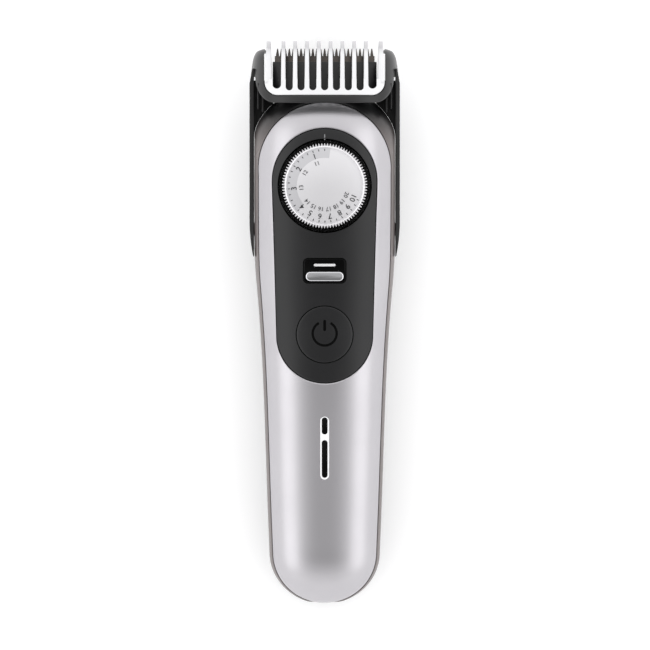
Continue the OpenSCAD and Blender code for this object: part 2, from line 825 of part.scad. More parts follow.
module eccentric_cam() {
  color(white) seat() translate([0, 143.4, motor_z]) rotate([-90, 0, 0]) {
    difference() {
      cylinder(h = 4.2, r = 3);
      translate([0, 0, -1]) cylinder(h = 3.8, r = 1);
    }
    translate([cam_throw, 0, 4]) cylinder(h = 5.9, r = cam_pin_r);
  }
}

module motor_mount() {
  color(black) seat() translate([0, 136.1, motor_z]) rotate([-90, 0, 0]) linear_extrude(2) difference() {
    rounded_rect(24, 15, 4);
    circle(3.6);
  }
}

module battery_cell() {
  color([0.20, 0.42, 0.62]) seat() translate([0, 32, 11]) rotate([-90, 0, 0]) {
    cylinder(h = 50, r = 7.1);
    translate([0, 0, 50]) cylinder(h = 1, r = 2.6);
  }
}

module battery_clips() {
  color(steel) seat() {
    translate([-4, 31.3, 6]) cube([8, 0.6, 12.7]);
    translate([-4, 83.1, 6]) cube([8, 0.6, 12.7]);
  }
}

module chassis() {
  color(black) seat() difference() {
    union() {
      translate([-9.5, 22, 18.9]) cube([19, 114, 1.2]);
      for (y = [29.6, 83.9, 109.5]) translate([-9.5, y, 4.6]) cube([19, 1.6, 15]);
      for (x = [-8.6, 6.6], y = [36, 70, 100]) translate([x, y, 19]) cube([2, 3, board_z - 19]);
      screw_places() translate([0, 0, 4.5]) cylinder(h = 15.6, r = 2.2);
    }
    screw_places() translate([0, 0, 3]) cylinder(h = 6, r = 1.12);
    translate([0, 111, motor_z]) rotate([-90, 0, 0]) cylinder(h = 30, r = 7.6);
    translate([0, 31, 11]) rotate([-90, 0, 0]) cylinder(h = 52.7, r = 7.3);
  }
}

module circuit_board() {
  color(board_green) seat() difference() {
    translate([-10.5, 34, board_z]) cube([21, 71, board_t]);
    for (x = [-8.6, 8.6], y = [62, 92]) translate([x, y, board_z - 1])
      cylinder(h = 4, r = 1.1);
  }
}

module socket_shell() {
  color(black) seat() difference() {
    translate([0, 10.5, waist_z]) rotate([90, 0, 0]) linear_extrude(9.2)
      rounded_rect(10.8, 6.4, 3.19);
    translate([0, 8.5, waist_z]) rotate([90, 0, 0]) linear_extrude(9.2)
      rounded_rect(9.4, 5, 2.49);
    for (x = [-2.4, 2.4]) translate([x, 12, waist_z]) rotate([90, 0, 0]) cylinder(h = 6, r = 0.6);
  }
}

module socket_pins() {
  color(brass_tone) seat() for (x = [-2.4, 2.4]) {
    translate([x, 13.4, waist_z]) rotate([90, 0, 0]) cylinder(h = 7.8, r = 0.6);
  }
}

front_cover();
side_frame();
back_cover();
back_grip();
case_screws();
seal_ring();
control_panel();
dial_well();
dial_bush();
length_dial();
dial_shaft();
dial_pinion();
detent_spring();
comb_carriage();
carriage_rails();
lock_window();
lock_slider();
slide_switch();
power_button();
button_plunger();
tact_switch();
indicator_bezel();
lens_upper();
lens_lower();
indicator_leds();
comb_hood();
comb_tines();
head_cover();
head_base();
fixed_blade();
moving_blade();
blade_spring();
drive_yoke();
motor_can();
motor_shaft();
eccentric_cam();
motor_mount();
battery_cell();
battery_clips();
chassis();
circuit_board();
socket_shell();
socket_pins();
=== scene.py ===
"""Looks of a cordless beard trimmer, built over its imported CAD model.

The trimmer lies on its back: X is its width, +Y runs towards the comb and +Z
points out of the control face. Sizes in the classes are millimetres, and a
station is a distance from the tail end along the body; `Frame.at` turns them
into metres in the frame of the CAD.
"""

import json
import logging
import math
from dataclasses import dataclass
from enum import Enum
from typing import Iterable, Sequence

import bmesh
import bpy
from mathutils import Matrix, Vector

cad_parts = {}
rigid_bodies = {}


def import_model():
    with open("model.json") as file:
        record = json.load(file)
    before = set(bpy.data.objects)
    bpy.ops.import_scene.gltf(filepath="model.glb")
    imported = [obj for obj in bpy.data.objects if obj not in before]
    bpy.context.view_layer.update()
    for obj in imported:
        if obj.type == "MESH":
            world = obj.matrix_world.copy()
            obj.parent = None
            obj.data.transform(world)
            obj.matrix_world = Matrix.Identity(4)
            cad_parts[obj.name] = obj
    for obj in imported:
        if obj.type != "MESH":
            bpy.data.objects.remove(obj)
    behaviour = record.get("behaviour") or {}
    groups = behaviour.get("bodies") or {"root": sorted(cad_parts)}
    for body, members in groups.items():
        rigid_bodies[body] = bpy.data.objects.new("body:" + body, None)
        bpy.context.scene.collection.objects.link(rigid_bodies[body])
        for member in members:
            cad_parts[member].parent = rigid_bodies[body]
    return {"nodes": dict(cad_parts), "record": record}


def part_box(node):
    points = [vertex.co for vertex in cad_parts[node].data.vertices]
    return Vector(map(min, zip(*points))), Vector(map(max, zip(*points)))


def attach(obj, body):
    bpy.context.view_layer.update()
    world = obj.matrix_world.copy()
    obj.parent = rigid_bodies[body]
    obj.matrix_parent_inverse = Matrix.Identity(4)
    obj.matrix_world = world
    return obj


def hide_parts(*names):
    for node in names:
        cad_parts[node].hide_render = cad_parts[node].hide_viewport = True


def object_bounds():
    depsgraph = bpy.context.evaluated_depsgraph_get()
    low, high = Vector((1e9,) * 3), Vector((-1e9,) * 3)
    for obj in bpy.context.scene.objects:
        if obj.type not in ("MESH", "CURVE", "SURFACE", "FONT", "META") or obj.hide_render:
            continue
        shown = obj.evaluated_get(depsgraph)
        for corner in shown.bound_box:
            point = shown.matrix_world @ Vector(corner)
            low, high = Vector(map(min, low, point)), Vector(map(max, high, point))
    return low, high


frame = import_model()
CAD_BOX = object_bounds()

LOG = logging.getLogger("trimmer")
MM = 0.001
Plan = tuple[float, float]
Point = tuple[float, float, float]
Rows = list[list[Point]]


# ---------------------------------------------------------------- small rules


def mix(a: float, b: float, t: float) -> float:
    """Value part of the way from a to b."""
    return a + (b - a) * t


def mix_plan(a: Plan, b: Plan, t: float) -> Plan:
    """Plan point part of the way from a to b."""
    return (mix(a[0], b[0], t), mix(a[1], b[1], t))


def steps(a: float, b: float, n: int) -> list[float]:
    """n + 1 even values from a to b, both included."""
    return [mix(a, b, i / n) for i in range(n + 1)]


def arc(centre: Plan, rx: float, ry: float, a0: float, a1: float, n: int) -> list[Plan]:
    """Points along an elliptic arc.

    Args:
        centre: middle of the ellipse.
        rx: half width.
        ry: half height.
        a0: first angle in degrees, from +X towards +Y.
        a1: last angle in degrees.
        n: number of steps.

    Returns:
        n + 1 plan points.
    """
    turns = [math.radians(a) for a in steps(a0, a1, n)]
    return [(centre[0] + rx * math.cos(a), centre[1] + ry * math.sin(a)) for a in turns]


def soft_min(a: float, b: float, p: float = 30.0) -> float:
    """Smaller of two lengths, with the corner between them rounded off."""
    return (max(a, 0.01) ** -p + max(b, 0.01) ** -p) ** (-1 / p)


def bulge(u: float, n: float) -> float:
    """Height of a superellipse quadrant at a fraction u of its width."""
    return max(1 - min(abs(u), 1.0) ** n, 0.0) ** (1 / n)


def curve(keys: Sequence[Plan], s: float) -> float:
    """Smooth curve through a short list of keys.

    Args:
        keys: (station, value) pairs in order.
        s: station to read.

    Returns:
        The value at s, held level past both ends.
    """
    last = len(keys) - 1
    i = 0
    while i < last - 1 and s >= keys[i + 1][0]:
        i += 1

    def slope(k: int) -> float:
        """Slope at key k, from its neighbours."""
        a, b = max(k - 1, 0), min(k + 1, last)
        return (keys[b][1] - keys[a][1]) / (keys[b][0] - keys[a][0])

    h = keys[i + 1][0] - keys[i][0]
    t = min(max((s - keys[i][0]) / h, 0.0), 1.0)
    m0, m1 = slope(i) * h, slope(i + 1) * h
    return (
        (2 * t**3 - 3 * t**2 + 1) * keys[i][1]
        + (t**3 - 2 * t**2 + t) * m0
        + (3 * t**2 - 2 * t**3) * keys[i + 1][1]
        + (t**3 - t**2) * m1
    )


def circle(centre: Plan, r: float, n: int) -> list[Plan]:
    """n points round a circle, anticlockwise from +X."""
    return arc(centre, r, r, 0, 360 - 360 / n, n - 1)


def roll(d: float, r: float) -> float:
    """How far a rounded edge of radius r has dropped at a distance d from it."""
    return 0.0 if d >= r else r - math.sqrt(r * r - (r - max(d, 0.0)) ** 2)


# ---------------------------------------------------------------- frame and forms


@dataclass(frozen=True)
class Frame:
    """Places stations in the frame of the CAD.

    Attributes:
        length: length of the whole trimmer, tail to tines.
    """

    length: float

    def at(self, x: float, s: float, z: float) -> Vector:
        """Point in metres for a width, a station and a height."""
        return Vector((x * MM, (s - self.length / 2) * MM, z * MM))

    def middle(self, node: str) -> tuple[float, float]:
        """Middle x and station of a CAD node, in millimetres."""
        low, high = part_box(node)
        return (
            (low[0] + high[0]) / 2 / MM,
            (low[1] + high[1]) / 2 / MM + self.length / 2,
        )

    def heights(self, node: str) -> tuple[float, float]:
        """Lowest and highest z of a CAD node, in millimetres."""
        low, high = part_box(node)
        return low[2] / MM, high[2] / MM


FRAME = Frame(length=(CAD_BOX[1][1] - CAD_BOX[0][1]) / MM)


@dataclass(frozen=True)
class CaseForm:
    """Outer form of the case by station, which every case piece shares."""

    tail_l: float = 15.5
    tail_w: float = 33.2
    waist_z: float = 15.0
    body_end: float = 156.5
    case_end: float = 150.7
    shoulder_r: float = 23.1
    shoulder_y: float = 133.35
    back_split_z: float = 9.0
    wall: float = 1.6
    frame_wall: float = 1.8
    front_round: float = 2.4
    back_round: float = 3.2
    head_round: float = 2.3
    belly_lead: float = 3.0
    side: tuple[Plan, ...] = (
        (15.5, 16.6), (32, 17.25), (50, 17.85), (67, 18.5), (80, 19.2), (92, 20.1),
        (99, 20.75), (107, 21.2), (118, 21.45), (130, 21.5), (160, 21.5),
    )
    front: tuple[Plan, ...] = (
        (15.5, 14.3), (40, 15), (60, 15.6), (80, 16.7), (100, 18.1), (126, 19.5), (160, 19.5),
    )
    back: tuple[Plan, ...] = (
        (15.5, 14.2), (25, 14.4), (110, 14.4), (135, 13.2), (160, 11.5),
    )

    def tail_share(self, s: float) -> float:
        """Share of the full section left in the rounded tail."""
        return bulge((self.tail_l - s) / self.tail_l, 2) if s < self.tail_l else 1.0

    def half(self, s: float) -> float:
        """Half width of the case.

        Args:
            s: station.

        Returns:
            The half width there.
        """
        if s < self.tail_l:
            return self.tail_w / 2 * self.tail_share(s)
        cap = self.shoulder_r * bulge(max(s - self.shoulder_y, 0) / self.shoulder_r, 2)
        return soft_min(curve(self.side, s), cap)

    def head_share(self, s: float, start: float) -> float:
        """Share of the full depth left where the case rounds off at the head."""
        return bulge(max(s - start, 0) / (self.body_end - start), self.head_round)

    def crown(self, s: float) -> float:
        """Height of the front surface over the waist on the middle line."""
        full = self.front[0][1] * self.tail_share(s) if s < self.tail_l else curve(self.front, s)
        return full * self.head_share(s, self.shoulder_y)

    def belly(self, s: float) -> float:
        """Depth of the back surface under the waist on the middle line."""
        full = self.back[0][1] * self.tail_share(s) if s < self.tail_l else curve(self.back, s)
        return full * self.head_share(s, self.shoulder_y - self.belly_lead)

    def front_z(self, x: float, s: float) -> float:
        """Height of the front surface."""
        return self.waist_z + self.crown(s) * bulge(x / max(self.half(s), 0.01), self.front_round)

    def back_z(self, x: float, s: float) -> float:
        """Height of the back surface."""
        return self.waist_z - self.belly(s) * bulge(x / max(self.half(s), 0.01), self.back_round)

    def pull_in(self, p: Plan, c: Plan, depth: float) -> Plan:
        """Pulls a plan point in until the back surface is deep enough under it.

        Args:
            p: where it starts.
            c: what it is pulled towards.
            depth: how far below the waist the surface has to be.

        Returns:
            The pulled plan point.
        """
        lo, hi = 0.0, 0.6
        for _ in range(22):
            t = (lo + hi) / 2
            q = mix_plan(p, c, t)
            if self.waist_z - self.back_z(*q) < depth:
                lo = t
            else:
                hi = t
        return mix_plan(p, c, lo)


CASE = CaseForm()


# ---------------------------------------------------------------- mesh work


class MeshKit:
    """Mesh building shared by every piece."""

    @staticmethod
    def piece(name: str, verts: Iterable[Vector], faces: Iterable[Sequence[int]],
              angle: float = 32.0) -> bpy.types.Object:
        """Makes a closed, welded object with smooth shading and crisp edges.

        Args:
            name: name of the piece.
            verts: points in metres.
            faces: point numbers of each face.
            angle: edges sharper than this stay crisp, in degrees.

        Returns:
            The new object, linked to the scene.
        """
        mesh = bpy.data.meshes.new(name)
        mesh.from_pydata([tuple(v) for v in verts], [], [tuple(f) for f in faces])
        obj = bpy.data.objects.new(name, mesh)
        bpy.context.collection.objects.link(obj)
        MeshKit.heal(obj, angle)
        return obj

    @staticmethod
    def heal(obj: bpy.types.Object, angle: float = 32.0) -> None:
        """Merges doubles, turns faces outwards and sets the shading.

        Args:
            obj: the object.
            angle: edges sharper than this stay crisp, in degrees.
        """
        work = bmesh.new()
        work.from_mesh(obj.data)
        bmesh.ops.remove_doubles(work, verts=work.verts, dist=2e-6)
        bmesh.ops.dissolve_degenerate(work, edges=work.edges, dist=1e-7)
        bmesh.ops.recalc_face_normals(work, faces=work.faces)
        work.to_mesh(obj.data)
        work.free()
        MeshKit.shade(obj, angle)

    @staticmethod
    def shade(obj: bpy.types.Object, angle: float = 32.0) -> None:
        """Shades smooth, with edges over the angle kept crisp."""
        obj.data.polygons.foreach_set("use_smooth", [True] * len(obj.data.polygons))
        obj.data.set_sharp_from_angle(angle=math.radians(angle))

    @staticmethod
    def bake(obj: bpy.types.Object) -> bpy.types.Object:
        """Turns the object's modifiers into its own plain mesh.

        Args:
            obj: the object.

        Returns:
            The same object.
        """
        graph = bpy.context.evaluated_depsgraph_get()
        mesh = bpy.data.meshes.new_from_object(obj.evaluated_get(graph), depsgraph=graph)
        obj.modifiers.clear()
        obj.data = mesh
        return obj

    @staticmethod
    def slab(name: str, top: Rows, bottom: Rows, wrap: bool) -> bpy.types.Object:
        """Closed solid between two grids of points.

        Args:
            name: name of the piece.
            top: rows of (x, station, z) points of the outer face.
            bottom: matching rows of the inner face.
            wrap: whether the last column joins the first.

        Returns:
            The new object.
        """
        rows, cols = len(top), len(top[0])
        n = rows * cols
        span = cols if wrap else cols - 1
        faces: list[tuple[int, ...]] = []
        for i in range(rows - 1):
            for j in range(span):
                a, b = i * cols + j, i * cols + (j + 1) % cols
                faces.append((a, b, b + cols, a + cols))
                faces.append((n + a, n + a + cols, n + b + cols, n + b))
        for i, flip in ((0, False), (rows - 1, True)):
            for j in range(span):
                a, b = i * cols + j, i * cols + (j + 1) % cols
                faces.append((a, b, b + n, a + n) if flip else (a, a + n, b + n, b))
        if not wrap:
            for j in (0, cols - 1):
                for i in range(rows - 1):
                    a = i * cols + j
                    faces.append((a, a + cols, a + cols + n, a + n))
        points = [FRAME.at(*p) for grid in (top, bottom) for row in grid for p in row]
        return MeshKit.piece(name, points, faces)

    @staticmethod
    def sweep(name: str, rings: Rows, closed: bool = False, angle: float = 32.0) -> bpy.types.Object:
        """Solid through a row of closed sections.

        Args:
            name: name of the piece.
            rings: sections with equal numbers of (x, station, z) points.
            closed: whether the last section joins the first.
            angle: edges sharper than this stay crisp, in degrees.

        Returns:
            The new object.
        """
        n, m = len(rings[0]), len(rings)
        faces: list[tuple[int, ...]] = []
        for i in range(m if closed else m - 1):
            k = (i + 1) % m
            for j in range(n):
                q = (j + 1) % n
                faces.append((i * n + j, k * n + j, k * n + q, i * n + q))
        if not closed:
            faces.append(tuple(range(n)))
            faces.append(tuple((m - 1) * n + j for j in reversed(range(n))))
        points = [FRAME.at(*p) for ring in rings for p in ring]
        return MeshKit.piece(name, points, faces, angle)

    @staticmethod
    def column(name: str, outline: Sequence[Plan], z0: float, z1: float) -> bpy.types.Object:
        """Upright prism over a plan outline of (x, station) points."""
        return MeshKit.sweep(name, [[(x, s, z) for x, s in outline] for z in (z0, z1)])

    @staticmethod
    def lathe(name: str, centre: Plan, profile: Sequence[Plan], sides: int = 128) -> bpy.types.Object:
        """Solid turned about an upright axis.

        Args:
            name: name of the piece.
            centre: x and station of the axis.
            profile: (radius, z) points; a radius of 0 closes the solid.
            sides: number of steps round the axis.

        Returns:
            The new object.
        """
        turns = [2 * math.pi * i / sides for i in range(sides)]
        rings = [[(centre[0] + r * math.cos(a), centre[1] + r * math.sin(a), z) for a in turns]
                 for r, z in profile]
        return MeshKit.sweep(name, rings, closed=profile[0][0] > 0)

    @staticmethod
    def round_edges(obj: bpy.types.Object, width: float, segments: int = 3,
                    angle: float = 40.0) -> bpy.types.Object:
        """Rounds every edge sharper than the angle.

        Args:
            obj: the object.
            width: width of the rounding, in millimetres.
            segments: steps across it.
            angle: smallest angle that is rounded, in degrees.

        Returns:
            The same object.
        """
        bevel = obj.modifiers.new("rounded edges", "BEVEL")
        bevel.width = width * MM
        bevel.segments = segments
        bevel.limit_method = "ANGLE"
        bevel.angle_limit = math.radians(angle)
        MeshKit.bake(obj)
        MeshKit.shade(obj)
        return obj

    @staticmethod
    def cut(obj: bpy.types.Object, cutters: Iterable[bpy.types.Object],
            folded: bool = False) -> bpy.types.Object:
        """Cuts the cutters out of the object and removes them.

        Args:
            obj: what is cut.
            cutters: the shapes to take away.
            folded: whether the object's own faces may cross.

        Returns:
            The same object.
        """
        for cutter in cutters:
            tool = obj.modifiers.new("cut", "BOOLEAN")
            tool.operation = "DIFFERENCE"
            tool.solver = "EXACT"
            tool.use_self = folded
            tool.object = cutter
            MeshKit.bake(obj)
            bpy.data.objects.remove(cutter)
        MeshKit.shade(obj)
        return obj

    @staticmethod
    def join(name: str, parts: Sequence[bpy.types.Object]) -> bpy.types.Object:
        """Gathers several meshes into one piece.

        Args:
            name: name of the piece.
            parts: the objects, which are used up.

        Returns:
            The new object.
        """
        whole = bmesh.new()
        for part in parts:
            whole.from_mesh(part.data)
        mesh = bpy.data.meshes.new(name)
        whole.to_mesh(mesh)
        whole.free()
        for part in parts:
            bpy.data.objects.remove(part)
        obj = bpy.data.objects.new(name, mesh)
        bpy.context.collection.objects.link(obj)
        MeshKit.shade(obj)
        return obj


def slot_plan(centre: Plan, w: float, h: float, r: float, n: int = 10) -> list[Plan]:
    """Outline of a rounded rectangle, anticlockwise.

    Args:
        centre: x and station of its middle.
        w: width across the body.
        h: length along the body.
        r: corner radius.
        n: steps in each corner.

    Returns:
        The plan points.
    """
    points: list[Plan] = []
    for k, (i, j) in enumerate(((1, 1), (-1, 1), (-1, -1), (1, -1))):
        corner = (centre[0] + i * (w / 2 - r), centre[1] + j * (h / 2 - r))
        points += arc(corner, r, r, 90 * k, 90 * (k + 1), n)
    return points


def block(name: str, low: Point, high: Point) -> bpy.types.Object:
    """Box between two corners of (x, station, z)."""
    plan = [(low[0], low[1]), (high[0], low[1]), (high[0], high[1]), (low[0], high[1])]
    return MeshKit.column(name, plan, low[2], high[2])


class Wiring:
    """Adds nodes to a node tree and wires their inputs."""

    def __init__(self, tree: bpy.types.NodeTree) -> None:
        """Starts on a tree."""
        self.tree = tree

    def node(self, kind: str, inputs: dict[str | int, object] | None = None,
             **settings: object) -> bpy.types.Node:
        """Adds a node.

        Args:
            kind: Blender's name for the kind of node.
            inputs: what feeds each input: a socket of another node or a fixed value.
            **settings: the node's own attributes.

        Returns:
            The new node.
        """
        made = self.tree.nodes.new(kind)
        for key, value in settings.items():
            setattr(made, key, value)
        for key, value in (inputs or {}).items():
            if isinstance(value, bpy.types.NodeSocket):
                self.tree.links.new(value, made.inputs[key])
            else:
                made.inputs[key].default_value = value
        return made

    def math(self, operation: str, *inputs: object) -> bpy.types.NodeSocket:
        """Adds a calculation and gives its result."""
        return self.node("ShaderNodeMath", dict(enumerate(inputs)), operation=operation).outputs[0]


# ---------------------------------------------------------------- repeats by geometry nodes


class Repeat(Wiring):
    """Geometry Nodes tree that repeats a small shape."""

    def __init__(self, name: str) -> None:
        """Starts a tree with its inputs and its geometry output.

        Args:
            name: name of the tree.
        """
        super().__init__(bpy.data.node_groups.new(name, "GeometryNodeTree"))
        face = self.tree.interface
        face.new_socket("Geometry", in_out="OUTPUT", socket_type="NodeSocketGeometry")
        kinds = {"Count": "Int", "Start": "Float", "Step": "Float", "Radius": "Float",
                 "Shape": "Object", "Finish": "Material"}
        self.ids = {label: face.new_socket(label, in_out="INPUT",
                                           socket_type=f"NodeSocket{kind}").identifier
                    for label, kind in kinds.items()}
        self.source = self.node("NodeGroupInput").outputs

    def running(self) -> bpy.types.NodeSocket:
        """Adds the running value Start + Index * Step."""
        index = self.node("GeometryNodeInputIndex").outputs[0]
        return self.math("MULTIPLY_ADD", index, self.source["Step"], self.source["Start"])

    def finish(self, spot: dict[str, bpy.types.NodeSocket],
               turn: dict[str, bpy.types.NodeSocket]) -> None:
        """Instances the shape on a row of points, realizes it and sets its finish.

        Args:
            spot: running place of the copies, by axis.
            turn: running angle of the copies, by axis.
        """
        row = self.node("GeometryNodeMeshLine", {"Count": self.source["Count"]}).outputs[0]
        place = self.node("ShaderNodeCombineXYZ", spot).outputs[0]
        points = self.node("GeometryNodeSetPosition", {"Geometry": row, "Position": place}).outputs[0]
        shape = self.node("GeometryNodeObjectInfo", {"Object": self.source["Shape"]})
        copies = self.node("GeometryNodeInstanceOnPoints", {
            "Points": points, "Instance": shape.outputs["Geometry"],
            "Rotation": self.node("ShaderNodeCombineXYZ", turn).outputs[0]}).outputs[0]
        real = self.node("GeometryNodeRealizeInstances", {0: copies}).outputs[0]
        paint = self.node("GeometryNodeSetMaterial",
                          {"Geometry": real, "Material": self.source["Finish"]}).outputs[0]
        self.node("NodeGroupOutput", {0: paint})

    def run(self, name: str, shape: bpy.types.Object, finish: bpy.types.Material, count: int,
            start: float, step: float, radius: float = 0.0) -> bpy.types.Object:
        """Runs the tree into a plain mesh and removes the shape.

        Args:
            name: name of the piece.
            shape: what is repeated, drawn about the origin.
            finish: material of the copies.
            count: number of copies.
            start: place of the first copy.
            step: distance or angle between copies.
            radius: radius of a ring.

        Returns:
            The new object.
        """
        obj = bpy.data.objects.new(name, bpy.data.meshes.new(name))
        bpy.context.collection.objects.link(obj)
        tool = obj.modifiers.new("repeat", "NODES")
        tool.node_group = self.tree
        for label, value in (("Count", count), ("Start", start), ("Step", step),
                             ("Radius", radius), ("Shape", shape), ("Finish", finish)):
            tool[self.ids[label]] = value
        MeshKit.bake(obj)
        bpy.data.objects.remove(shape)
        MeshKit.shade(obj)
        return obj


class RingRepeat(Repeat):
    """Repeats a shape round an upright axis; angles run anticlockwise from +Y."""

    def __init__(self) -> None:
        """Builds the tree."""
        super().__init__("ring of copies")
        angle, radius = self.running(), self.source["Radius"]
        right = self.math("MULTIPLY", self.math("SINE", angle), radius)
        along = self.math("MULTIPLY", self.math("COSINE", angle), radius)
        self.finish({"X": self.math("MULTIPLY", right, -1.0), "Y": along}, {"Z": angle})


class LineRepeat(Repeat):
    """Repeats a shape along an axis."""

    def __init__(self, axis: str) -> None:
        """Builds the tree for X or for Y."""
        super().__init__(f"copies along {axis}")
        self.finish({axis: self.running()}, {})


# ---------------------------------------------------------------- finishes


class Grain(Enum):
    """How the fine texture of a finish runs."""

    EVEN = (1.0, 1.0, 1.0)
    ACROSS = (0.05, 1.0, 1.0)
    ALONG = (1.0, 0.05, 1.0)


class EffectGroups:
    """Shader node groups that several finishes share."""

    def __init__(self) -> None:
        """Builds the groups once."""
        self.grain = self._grain()
        self.handling = self._handling()

    @staticmethod
    def _start(name: str, inputs: Sequence[str], output: str) -> tuple[Wiring, bpy.types.NodeInputs]:
        """Starts a group that reads a place and some numbers and gives one number.

        Args:
            name: name of the group.
            inputs: names of the numbers it reads.
            output: name of what it gives.

        Returns:
            The group's wiring, and the sockets of its inputs.
        """
        wiring = Wiring(bpy.data.node_groups.new(name, "ShaderNodeTree"))
        face = wiring.tree.interface
        for label in inputs:
            face.new_socket(label, in_out="INPUT", socket_type="NodeSocketFloat")
        face.new_socket("Vector", in_out="INPUT", socket_type="NodeSocketVector")
        face.new_socket(output, in_out="OUTPUT", socket_type="NodeSocketFloat")
        return wiring, wiring.node("NodeGroupInput").outputs

    def _grain(self) -> bpy.types.NodeTree:
        """Fine moulded or ground texture, as a height.

        Returns:
            The group.
        """
        wiring, source = self._start("fine grain", ["Scale"], "Height")
        noise = wiring.node("ShaderNodeTexNoise", {
            "Vector": source["Vector"], "Scale": source["Scale"], "Detail": 3.0})
        wiring.node("NodeGroupOutput", {"Height": noise.outputs[0]})
        return wiring.tree

    def _handling(self) -> bpy.types.NodeTree:
        """Broad, faint unevenness left by moulding and handling, from 0 to 1.

        Returns:
            The group.
        """
        wiring, source = self._start("handling", ["Scale"], "Mask")
        noise = wiring.node("ShaderNodeTexNoise", {
            "Vector": source["Vector"], "Scale": source["Scale"], "Detail": 4.0, "Roughness": 0.6})
        spread = wiring.node("ShaderNodeMapRange", {
            "Value": noise.outputs[0], "From Min": 0.35, "From Max": 0.65})
        wiring.node("NodeGroupOutput", {"Mask": spread.outputs[0]})
        return wiring.tree


@dataclass(frozen=True)
class Finish:
    """One surface finish.

    Attributes:
        name: maker's name of the finish.
        color: main colour, linear RGB.
        shade: second colour that the broad unevenness leads to.
        metallic: how metallic the base is.
        rough: roughness at the two ends of the unevenness.
        grain: direction of the fine texture.
        grain_scale: size of the fine texture, in cells per metre.
        grain_depth: depth of the fine texture, in metres.
        coat: weight of a clear coat.
        coat_rough: roughness of the coat.
        specular: reflectance of a non-metal.
        painted_shade: lengths along the trimmer between which the colour goes over to painted_shade_color;
            this is painted shade, a darkening that stands in for shade and dark reflections there.
        painted_shade_color: colour of the painted shade past that run, linear RGB.
        handling_scale: size of the broad unevenness, in cells per metre.
    """

    name: str
    color: Point
    shade: Point
    metallic: float = 0.0
    rough: tuple[float, float] = (0.35, 0.45)
    grain: Grain = Grain.EVEN
    grain_scale: float = 2500.0
    grain_depth: float = 0.000004
    coat: float = 0.0
    coat_rough: float = 0.1
    specular: float = 0.5
    painted_shade: Plan | None = None
    painted_shade_color: Point = (0.0, 0.0, 0.0)
    handling_scale: float = 45.0

    def build(self, groups: EffectGroups) -> bpy.types.Material:
        """Makes the material.

        Args:
            groups: the shared shader groups.

        Returns:
            The material, with its shader in it.
        """
        material = bpy.data.materials.new(self.name)
        material.use_nodes = True
        material.node_tree.nodes.clear()
        wiring = Wiring(material.node_tree)
        place = wiring.node("ShaderNodeTexCoord").outputs["Object"]
        run = wiring.node("ShaderNodeMapping", {"Vector": place, "Scale": self.grain.value})
        grain = wiring.node("ShaderNodeGroup", {"Vector": run.outputs[0], "Scale": self.grain_scale},
                            node_tree=groups.grain)
        bump = wiring.node("ShaderNodeBump", {
            "Height": grain.outputs["Height"], "Distance": self.grain_depth})
        mask = wiring.node("ShaderNodeGroup", {"Vector": place, "Scale": self.handling_scale},
                           node_tree=groups.handling).outputs["Mask"]
        color = wiring.node("ShaderNodeMix", {
            "Factor": mask, "A": (*self.color, 1.0), "B": (*self.shade, 1.0)},
            data_type="RGBA").outputs["Result"]
        rough = wiring.node("ShaderNodeMapRange", {
            "Value": mask, "To Min": self.rough[0], "To Max": self.rough[1]})
        shader = wiring.node("ShaderNodeBsdfPrincipled", {
            "Base Color": self._paint_shade_in(wiring, place, color) if self.painted_shade else color,
            "Metallic": self.metallic, "Roughness": rough.outputs[0], "Normal": bump.outputs[0],
            "Specular IOR Level": self.specular, "Coat Weight": self.coat,
            "Coat Roughness": self.coat_rough})
        wiring.node("ShaderNodeOutputMaterial", {"Surface": shader.outputs[0]})
        return material

    def _paint_shade_in(self, wiring: Wiring, place: bpy.types.NodeSocket,
               color: bpy.types.NodeSocket) -> bpy.types.NodeSocket:
        """Paints shade in: lets a colour go over to a darker painted shade colour along the trimmer.

        Args:
            wiring: the material's wiring.
            place: object coordinates.
            color: the colour before the fade.

        Returns:
            The socket of the colour with its painted shade.
        """
        # painted shade: the base colour is ramped towards a darker colour along Y to stand in for shade
        first, last = (FRAME.at(0, s, 0).y for s in self.painted_shade)
        axes = wiring.node("ShaderNodeSeparateXYZ", {0: place})
        share = wiring.node("ShaderNodeMapRange", {
            "Value": axes.outputs["Y"], "From Min": first, "From Max": last},
            interpolation_type="SMOOTHSTEP")
        blend = wiring.node("ShaderNodeMix", {
            "Factor": share.outputs[0], "A": color, "B": (*self.painted_shade_color, 1.0)}, data_type="RGBA")
        return blend.outputs["Result"]


